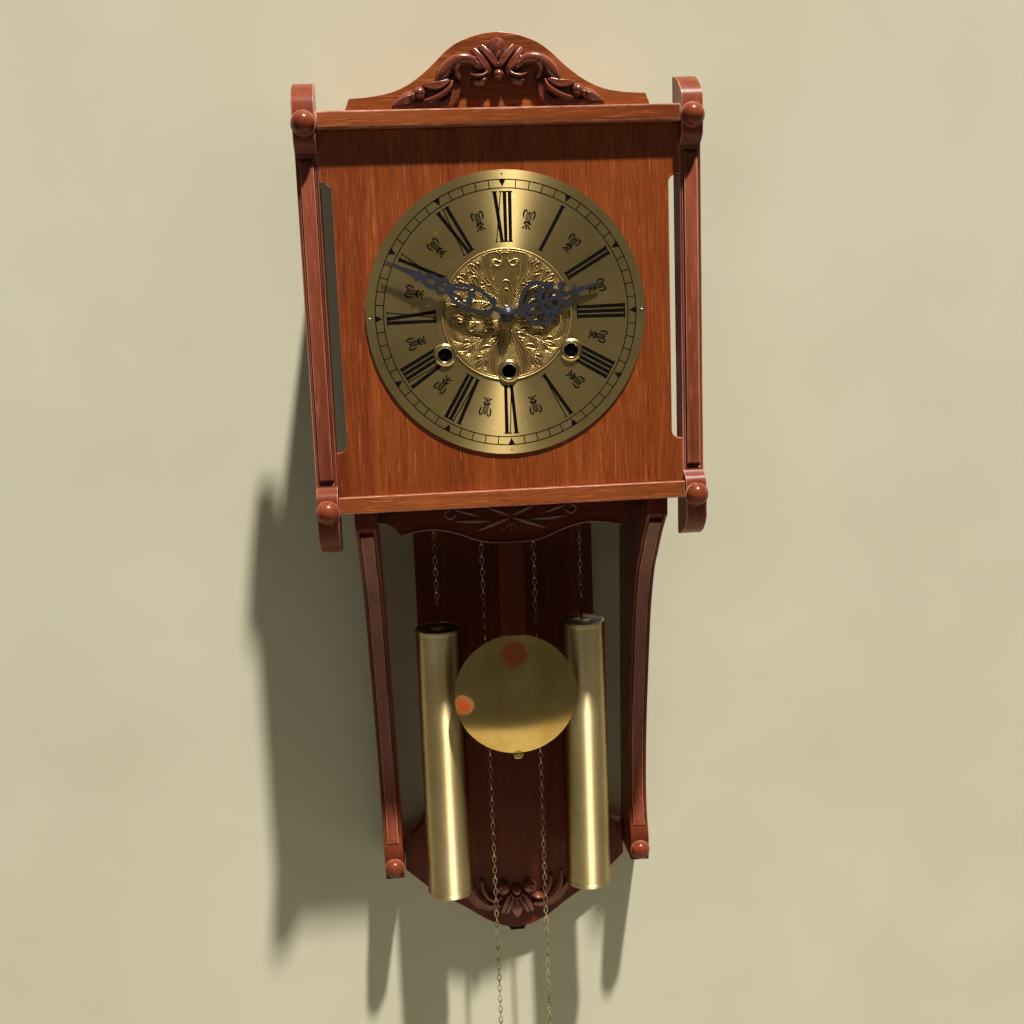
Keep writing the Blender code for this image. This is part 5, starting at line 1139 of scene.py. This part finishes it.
def spray(knots, pairs, reach):
    """A stem's leaves in pairs, with one at its end, as leaf knots."""
    line = smooth_line(knots, STEM_STEPS)
    slope = np.gradient(line, axis=0)
    leaves = []
    for k in reversed(range(pairs)):
        share = (k + FIRST_PAIR) / pairs
        at = int(share * (len(line) - 1))
        x, z = line[at]
        lean = math.atan2(slope[at][1], slope[at][0])
        size = reach * (1.0 - LEAF_TAPER * abs(share - LONGEST_SHARE))
        for turn in (LEAF_TURN, -LEAF_TURN):
            leaf = []
            for out, bend, half in LEAF_FORM:
                a = lean + turn * bend
                leaf.append((x + out * size * math.cos(a), z + out * size * math.sin(a), half * LEAF_HALF))
            leaves.append(leaf)
    start, end = line[-TIP_POINTS], line[-1]
    tip = end + TIP_REACH * (end - start)
    leaves.append([(*place, half) for place, half in zip((start, end, tip), TIP_HALVES)])
    leaves.append([(x, z, STEM_HALF) for x, z in knots])
    return leaves


CENTRE_LEAVES = []
for knots, pairs, reach in (
    (((6, 15), (12, 21), (19.5, 29.5), (25, 36)), 3, 12.0),
    (((8, 13), (18, 18.5), (28, 23.5), (36, 27)), 3, 12.0),
    (((8, 8), (20, 10.5), (31, 11.5), (40, 11)), 3, 11.0),
    (((8, -5), (19, -5.5), (30, -4.6), (38, -2)), 3, 11.0),
    (((6, -10), (15, -16.0), (25, -21), (34, -25)), 3, 12.0),
    (((4, -12), (10.0, -22), (17, -31), (23, -38)), 3, 11.0),
):
    CENTRE_LEAVES += spray(knots, pairs, reach)
CENTRE_LEAVES += [
    ((44.6, -4.0, 0.6), (45.4, -10.0, 2.6), (42.4, -17.0, 2.6), (36.0, -21.6, 0.5)),
    ((3.0, -13.0, 0.8), (7.6, -23.0, 2.4), (11.6, -33.0, 3.2), (12.8, -42.0, 2.8), (9.6, -49.0, 0.7)),
    ((0.0, 41.0, 7.0), (0.0, 31.0, 12.4), (0.0, 25.0, 8.6), (0.0, 19.6, 3.6)),
    ((3.6, 42.4, 2.0), (7.4, 45.4, 3.4), (12.4, 44.6, 3.9), (14.6, 39.4, 3.4), (13.6, 31.4, 2.6),
     (10.8, 24.6, 1.7), (7.4, 18.6, 0.6)),
    ((0.0, 22.6, 4.2), (0.0, 17.0, 5.6), (0.0, 9.0, 5.0)),
    ((0.0, 18.2, 2.2), (0.0, 14.4, 3.2), (0.0, 9.0, 2.8)),
]

# Fine raised lines on the shield: knots are (x, z, half-width, height)
CENTRE_LINES = (
    ((9.6, 40.6, 0.42, 0.8), (8.6, 38.4, 0.42, 0.8), (5.6, 37.4, 0.42, 0.8), (2.8, 39.6, 0.42, 0.8),
     (2.4, 43.6, 0.42, 0.8)),
    ((11.4, 30.0, 0.36, 0.7), (9.6, 27.0, 0.36, 0.7), (8.4, 29.4, 0.3, 0.6)),
)


def embossed_centre():
    """The dial's centre as a field of heights, cut round the arbor and the collars."""
    across, up = grid(-CENTRE_RADIUS, CENTRE_RADIUS, -CENTRE_RADIUS, CENTRE_RADIUS, CENTRE_STEP)
    side = np.abs(across)
    rough = np.random.RandomState(SEED).rand(*across.shape)
    rough = (rough + np.roll(rough, 1, 0) + np.roll(rough, 1, 1) + np.roll(rough, (1, 1), (0, 1))) / 4
    heights = np.clip(GROUND + GRAIN_DEPTH * (rough - 0.5), CENTRE_FLOOR, RELIEF_TOP)
    for knots in CENTRE_LEAVES:
        inset = leaf_insets(side, up, knots, LEAF_STEPS)
        line = np.exp(-(((inset - LINE_INSET) / LINE_SPREAD) ** 2))
        heights = np.where(inset > -DITCH_WIDTH, LEAF_DITCH, heights)
        heights = np.where(inset > 0, LEAF_FLOOR + (LEAF_LINE - LEAF_FLOOR) * line, heights)
    for knots in CENTRE_LINES:
        heights = np.maximum(heights, stroke_heights(side, up, knots, "round", LEAF_STEPS))
    out = np.hypot(across, up)
    rims = sum(rise * np.exp(-(((out - radius) / width) ** 2)) for radius, width, rise in RIMS)
    heights = np.where(out > RIM_START, CENTRE_FLOOR + rims, heights)
    keep = (out < CENTRE_RADIUS) & (out > ARBOR_CLEARANCE)
    for name in COLLARS:
        low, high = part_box(name)
        middle = (low + high) / 2 / MM
        keep &= np.hypot(across - middle.x, up - middle.z) > COLLAR_CLEARANCE
    piece = new_piece(
        "centre_relief", *relief_mesh(across, up, heights, DIAL_FRONT, CENTRE_FOOT, keep),
        "case", gilt_relief(), "gilt_brass", CENTRE_SHARP,
    )
    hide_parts("dial_centre")


embossed_centre()

# Winding-hole collars: polished rings with a black bore
COLLAR_PROFILE = (
    (9.1, 0.0), (9.1, 0.35), (8.75, 0.8), (8.2, 1.3), (7.5, 1.85), (7.0, 2.08), (6.4, 2.1),
    (5.9, 1.95), (5.5, 1.6), (5.2, 1.0), (5.2, 0.0),
)
BORE_PROFILE = ((5.2, 0.0), (5.2, -6.0), (0.0, -6.0), (0.0, -6.4), (5.7, -6.4), (5.7, 0.0))
COLLAR_LIFT = 0.0002
COLLAR_STEPS = 48
BORE_STEPS = 32
for name in COLLARS:
    low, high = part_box(name)
    middle = (low + high) / 2
    place = (middle.x, DIAL_FRONT + COLLAR_LIFT, middle.z)
    ring = turned_at(in_metres(COLLAR_PROFILE), COLLAR_STEPS, toward_front, place, closed=True)
    collar = new_piece(name + "_ring", *ring, "case", bright_brass, "polished_brass")
    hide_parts(name)
    bore = turned_at(in_metres(BORE_PROFILE), BORE_STEPS, toward_front, place)
    new_piece(name + "_bore", *bore, "case", dial_black, "black_stop")

# Hands, fretted from sheet: strokes are (half-width, line), mirrored; balls are (across, out, radius)
MINUTE_STROKES = (
    (1.5, ((0.0, 4.6), (0.0, 12.6))),
    (1.05, ((0.0, 11.0), (3.6, 14.4), (6.6, 20.0), (8.6, 28.0), (8.2, 36.0), (5.6, 44.0), (1.0, 51.0))),
    (0.85, ((1.6, 12.4), (4.8, 12.6), (6.6, 14.6), (6.0, 17.0), (4.4, 17.0))),
    (0.8, ((1.0, 48.0), (3.0, 41.0), (4.8, 35.4), (3.8, 30.4), (1.8, 30.4), (1.6, 32.6))),
    (0.9, ((1.0, 50.4), (4.4, 52.2), (5.2, 56.0), (2.6, 58.8), (0.0, 59.4))),
    (0.9, ((0.0, 49.0), (0.0, 60.0))),
    (1.35, ((0.0, 58.8), (3.4, 61.4), (3.7, 65.4), (1.9, 69.2), (0.0, 70.4))),
    (1.7, ((0.0, 69.6), (0.0, 76.0))),
    (0.8, ((4.4, 76.2), (2.6, 74.0), (0.8, 73.4))),
)
MINUTE_BALLS = ((5.2, 16.4, 1.7), (2.0, 32.4, 1.6), (0.0, 47.6, 1.6), (5.4, 55.2, 1.4))
MINUTE_BLADE = ((-2.9, 75.0), (2.9, 75.0), (0.45, 103.3), (-0.45, 103.3))
HOUR_STROKES = (
    (1.5, ((0.0, 4.8), (0.0, 13.0))),
    (1.2, ((0.0, 11.0), (6.0, 13.4), (12.0, 17.8), (15.6, 25.0), (14.6, 32.0), (10.6, 35.4), (7.8, 32.8),
           (9.4, 29.6))),
    (0.95, ((1.2, 15.0), (5.4, 19.4), (7.4, 25.0), (5.8, 29.4), (3.2, 28.2))),
    (1.25, ((0.0, 12.0), (0.0, 58.0))),
    (0.95, ((1.0, 32.0), (5.4, 35.8), (9.4, 40.4), (12.0, 39.0), (11.4, 36.6))),
    (0.95, ((0.4, 41.0), (3.8, 44.6), (7.2, 50.0), (9.2, 48.2), (8.0, 45.8))),
    (0.85, ((10.6, 35.4), (6.4, 40.4), (1.2, 44.6))),
    (0.85, ((4.8, 58.0), (2.8, 56.0), (0.6, 55.0))),
)
HOUR_BALLS = ((9.8, 30.0, 1.9), (3.6, 27.6, 1.6), (11.0, 37.2, 1.9), (7.8, 46.8, 1.9))
HOUR_BLADE = ((-2.4, 56.6), (2.4, 56.6), (0.45, 76.8), (-0.45, 76.8))
HAND_LINE_STEPS = 6
BALL_STEPS = 14
HUB_STEPS = 40
HUB_BEVEL = 0.5
HUB_RISE = 1.3

# Each stroke lies a hair above the last, so that no two faces share a plane
HAND_STEP = 0.00001


def both_sides(points):
    """Drawn points, and their mirror image unless they lie on the middle line."""
    mirrored = [(-u, *rest) for u, *rest in points]
    return (points, mirrored) if any(u for u, *rest in points) else (points,)


def hand_outlines(strokes, balls, blade):
    """The outlines of a hand's strokes, balls and blade."""
    outlines = []
    for half, knots in strokes:
        for side_knots in both_sides(knots):
            line = smooth_line(side_knots, HAND_LINE_STEPS)
            outlines.append(ribbon_outline(line, [half * HAND_SWELL] * len(line)))
    turns = [2 * math.pi * k / BALL_STEPS for k in range(BALL_STEPS)]
    for ball in balls:
        for ((u, v, radius),) in both_sides((ball,)):
            size = radius * HAND_SWELL
            outlines.append([(u + size * math.sin(a), v + size * math.cos(a)) for a in turns])
    return [*outlines, blade]


def fretted_hand(name, node, body, outlines, hub, bore, depth, angle):
    """A hand of sawn outlines about a bored hub, whose radii are in mm."""
    back, front = depth - HAND_THICKNESS / 2, depth + HAND_THICKNESS / 2
    solids = []
    for k, outline in enumerate(outlines):
        solids.append(prism(on_dial(outline, angle), back, front + k * HAND_STEP))
    rise = HAND_THICKNESS / MM
    top = rise * HUB_RISE
    profile = ((bore, 0.0), (hub, 0.0), (hub, rise), (hub - HUB_BEVEL, top), (bore, top))
    place = (0.0, back, 0.0)
    solids.append(turned_at(in_metres(profile), HUB_STEPS, toward_front, place, closed=True))
    piece = new_piece(name, *joined(solids), body, blued_steel, "blued_steel")
    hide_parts(node)


fretted_hand(
    "minute_hand_fretted", "minute_hand", "minute_body",
    hand_outlines(MINUTE_STROKES, MINUTE_BALLS, MINUTE_BLADE),
    hub=5.8, bore=2.6, depth=MINUTE_HAND_DEPTH, angle=MINUTE_HAND_ANGLE,
)
fretted_hand(
    "hour_hand_fretted", "hour_hand", "hour_body",
    hand_outlines(HOUR_STROKES, HOUR_BALLS, HOUR_BLADE),
    hub=6.2, bore=4.4, depth=HOUR_HAND_DEPTH, angle=HOUR_HAND_ANGLE,
)
NUT_PROFILE = (
    (2.6, 0.0), (4.8, 0.0), (4.8, 1.2), (4.4, 1.6), (3.6, 2.0), (3.4, 2.6), (3.0, 3.4), (2.2, 4.0),
    (1.2, 4.2), (0.0, 4.25), (0.0, 1.0), (2.6, 1.0),
)
low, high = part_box("hand_nut")
nut = new_piece(
    "hand_nut_turned",
    *turned_at(in_metres(NUT_PROFILE), HUB_STEPS, toward_front, (0.0, -high.y, 0.0), closed=True),
    "minute_body", blued_steel, "blued_steel",
)
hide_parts("hand_nut")

# Weights and bob, finer than the CAD's
WEIGHT_PROFILE = (
    (0.0, 0.0), (1.6, 0.0), (18.6, -0.6), (19.0, -0.2), (20.4, 0.0), (20.8, -0.4), (20.8, -3.0),
    (20.6, -3.6), (20.3, -4.0), (20.3, -245.0), (20.6, -245.4), (20.8, -246.0), (20.8, -248.4),
    (20.2, -249.0), (0.0, -249.0),
)
CAP_PROFILE = ((1.8, -0.1), (17.6, -0.4), (18.2, -0.7), (18.2, -1.2), (1.8, -1.2))
WEIGHT_STEPS = 72
CAP_STEPS = 56
for side, sign in SIDES:
    low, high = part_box(side + "_weight")
    body = side + "_weight_body"
    place = (WEIGHT_X * sign, CHAIN_DEPTH, high.z)
    shell = turned_at(in_metres(WEIGHT_PROFILE), WEIGHT_STEPS, upright, place)
    weight = new_piece(side + "_weight_shell", *shell, body, weight_brass, "satin_brass")
    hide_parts(side + "_weight")
    cap = turned_at(in_metres(CAP_PROFILE), CAP_STEPS, upright, place, closed=True)
    # The cap's dark brass is painted shade
    new_piece(side + "_weight_cap", *cap, body, shade_dark_cap_brass, "satin_brass")

BOB_SHARES = 16
BOB_STEPS = 96
BOB_RIM = 0.12
low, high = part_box("pendulum_bob")
middle = (low + high) / 2
bob_radius = (high.x - low.x) / 2
bob_half = (high.y - low.y) / 2
bob_z = bob_radius + low.z
front_half = []
for k in range(BOB_SHARES + 1):
    share = math.sin(math.pi / 2 * k / BOB_SHARES)
    front_half.append((bob_radius * share, bob_half * (BOB_RIM + (1 - BOB_RIM) * (1 - share**2))))
profile = front_half + [(r, -h) for r, h in reversed(front_half)]
bob = new_piece(
    "pendulum_bob_polished",
    *turned_at(profile, BOB_STEPS, toward_front, (middle.x, -middle.y, bob_z)),
    "pendulum_body", bob_brass(Vector((middle.x, low.y, bob_z))), "polished_brass",
)
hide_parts("pendulum_bob")

# Pendulum rod, whose foot is a thin tongue behind the bob
ROD_CLEARANCE = 0.0006
rod_low, rod_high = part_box("pendulum_rod")
step_z = high.z + ROD_CLEARANCE
side_line = (
    (rod_high.y, rod_low.z), (rod_high.y, rod_high.z), (rod_low.y, rod_high.z), (rod_low.y, step_z),
    (middle.y, step_z), (middle.y, rod_low.z),
)
laid, faces = prism(side_line, -rod_low.x, -rod_high.x)
vertices = [(x, y, z) for y, x, z in laid]
rod = new_piece("pendulum_rod_stepped", vertices, faces, "pendulum_body", rod_wood, "red_mahogany")
round_edges(rod, rod_wood)
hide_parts("pendulum_rod")

# Wall, floor, light and camera
WALL_HALF = 3.0
WALL_GAP = 0.0004
WALL_COLOURS = ((0.545, 0.52, 0.385), (0.59, 0.565, 0.425))
FLOOR_Z = -1.05
FLOOR_REACH = 1.4
FLOOR_DEPTH = 1.22
FLOOR_COLOURS = ((0.285, 0.275, 0.225), (0.31, 0.30, 0.25))


def plain_paint(name, scale, colours, roughness):
    """A plain pale paint with a faint mottle: the material, its node tree and its shader."""
    material, tree, shader = new_material(name)
    mottle = noise(tree, object_place(tree), scale, 3.0)
    colour = ramp(tree, mottle, tuple(zip(NOISE_SPAN, colours)))
    tree.links.new(colour, shader.inputs["Base Color"])
    shader.inputs["Roughness"].default_value = roughness
    return material, tree, shader


def wall_material():
    """Plain pale plaster; open to lamps and to views from behind, so that the back can be seen."""
    material, tree, shader = plain_paint("plain_wall", 6.0, WALL_COLOURS, 0.95)
    shader.inputs["Specular IOR Level"].default_value = 0.1
    behind = add_node(tree, "ShaderNodeNewGeometry").outputs["Backfacing"]
    shadow = add_node(tree, "ShaderNodeLightPath").outputs["Is Shadow Ray"]
    through = add_node(tree, "ShaderNodeMath", {0: behind, 1: shadow}, operation="MAXIMUM")
    clear = add_node(tree, "ShaderNodeBsdfTransparent")
    both = add_node(tree, "ShaderNodeMixShader", {0: through.outputs[0]})
    tree.links.new(shader.outputs[0], both.inputs[1])
    tree.links.new(clear.outputs[0], both.inputs[2])
    tree.links.new(both.outputs[0], tree.nodes["Material Output"].inputs["Surface"])
    return material


wall = new_piece(
    "wall", [(x * WALL_HALF, WALL_GAP, z * WALL_HALF) for x, z in ((-1, -1), (1, -1), (1, 1), (-1, 1))],
    [(0, 1, 2, 3)], None, wall_material(), None,
)
floor_paint, _, _ = plain_paint("plain_floor", 5.0, FLOOR_COLOURS, 0.9)
floor = new_piece(
    "floor", [(x * FLOOR_REACH, -y * FLOOR_DEPTH, FLOOR_Z) for x, y in ((-1, 0), (-1, 1), (1, 1), (1, 0))],
    [(0, 1, 2, 3)], None, floor_paint, None,
)

LIGHT_AIM = Vector((0.0, -0.1, -0.2))
KEY_COLOUR = (1.0, 0.96, 0.88)
FILL_COLOUR = (1.0, 0.98, 0.95)


def area_light(name, direction, distance, size, power, colour):
    """A soft round lamp, aimed at the clock's middle."""
    data = bpy.data.lights.new(name, "AREA")
    data.shape = "DISK"
    data.size = size
    data.energy = power
    data.color = colour
    lamp = bpy.data.objects.new(name, data)
    bpy.context.scene.collection.objects.link(lamp)
    toward = Vector(direction).normalized()
    lamp.location = LIGHT_AIM + toward * distance
    lamp.rotation_mode = "QUATERNION"
    lamp.rotation_quaternion = toward.to_track_quat("Z", "Y")


area_light("key", (0.48, -1.0, 2.86), distance=9.0, size=0.34, power=2020.0, colour=KEY_COLOUR)
area_light("front_fill", (-0.5, -1.0, 0.25), distance=2.6, size=1.6, power=1.6, colour=FILL_COLOUR)
area_light("back_fill", (0.4, 1.0, 0.5), distance=2.4, size=1.6, power=40.0, colour=FILL_COLOUR)

# The studio round about: its light on matt surfaces, and its level to mirrors and to the camera
STUDIO_COLOUR = (0.90, 0.90, 0.84, 1.0)
AMBIENT_LEVEL = 0.05
STUDIO_LEVELS = {"Is Glossy Ray": 0.085, "Is Camera Ray": 0.80}
world = bpy.data.worlds.new("studio")
world.use_nodes = True
tree = world.node_tree
ambient = tree.nodes["Background"]
ambient.inputs["Color"].default_value = STUDIO_COLOUR
ambient.inputs["Strength"].default_value = AMBIENT_LEVEL
rays = add_node(tree, "ShaderNodeLightPath")
seen = ambient.outputs[0]
for ray, level in STUDIO_LEVELS.items():
    studio = add_node(tree, "ShaderNodeBackground", {"Color": STUDIO_COLOUR, "Strength": level})
    seen = add_node(
        tree, "ShaderNodeMixShader", {0: rays.outputs[ray], 1: seen, 2: studio.outputs[0]}
    ).outputs[0]
tree.links.new(seen, tree.nodes["World Output"].inputs["Surface"])
bpy.context.scene.world = world
bpy.context.scene.view_settings.view_transform = "Standard"

camera_data = bpy.data.cameras.new("camera")
camera_data.sensor_width = SENSOR_WIDTH
camera_data.lens = FOCAL_PIXELS * SENSOR_WIDTH / IMAGE_WIDTH
camera = bpy.data.objects.new("camera", camera_data)
bpy.context.scene.collection.objects.link(camera)
forward = Vector(
    (
        math.sin(CAMERA_YAW) * math.cos(CAMERA_PITCH),
        math.cos(CAMERA_YAW) * math.cos(CAMERA_PITCH),
        -math.sin(CAMERA_PITCH),
    )
)
level = Vector((math.cos(CAMERA_YAW), -math.sin(CAMERA_YAW), 0.0))
rise = level.cross(forward)
right = math.cos(CAMERA_ROLL) * level + math.sin(CAMERA_ROLL) * rise
above = math.cos(CAMERA_ROLL) * rise - math.sin(CAMERA_ROLL) * level
turn = Matrix((right, above, -forward)).transposed()
camera.matrix_world = Matrix.Translation(CAMERA_PLACE) @ turn.to_4x4()
bpy.context.scene.camera = camera
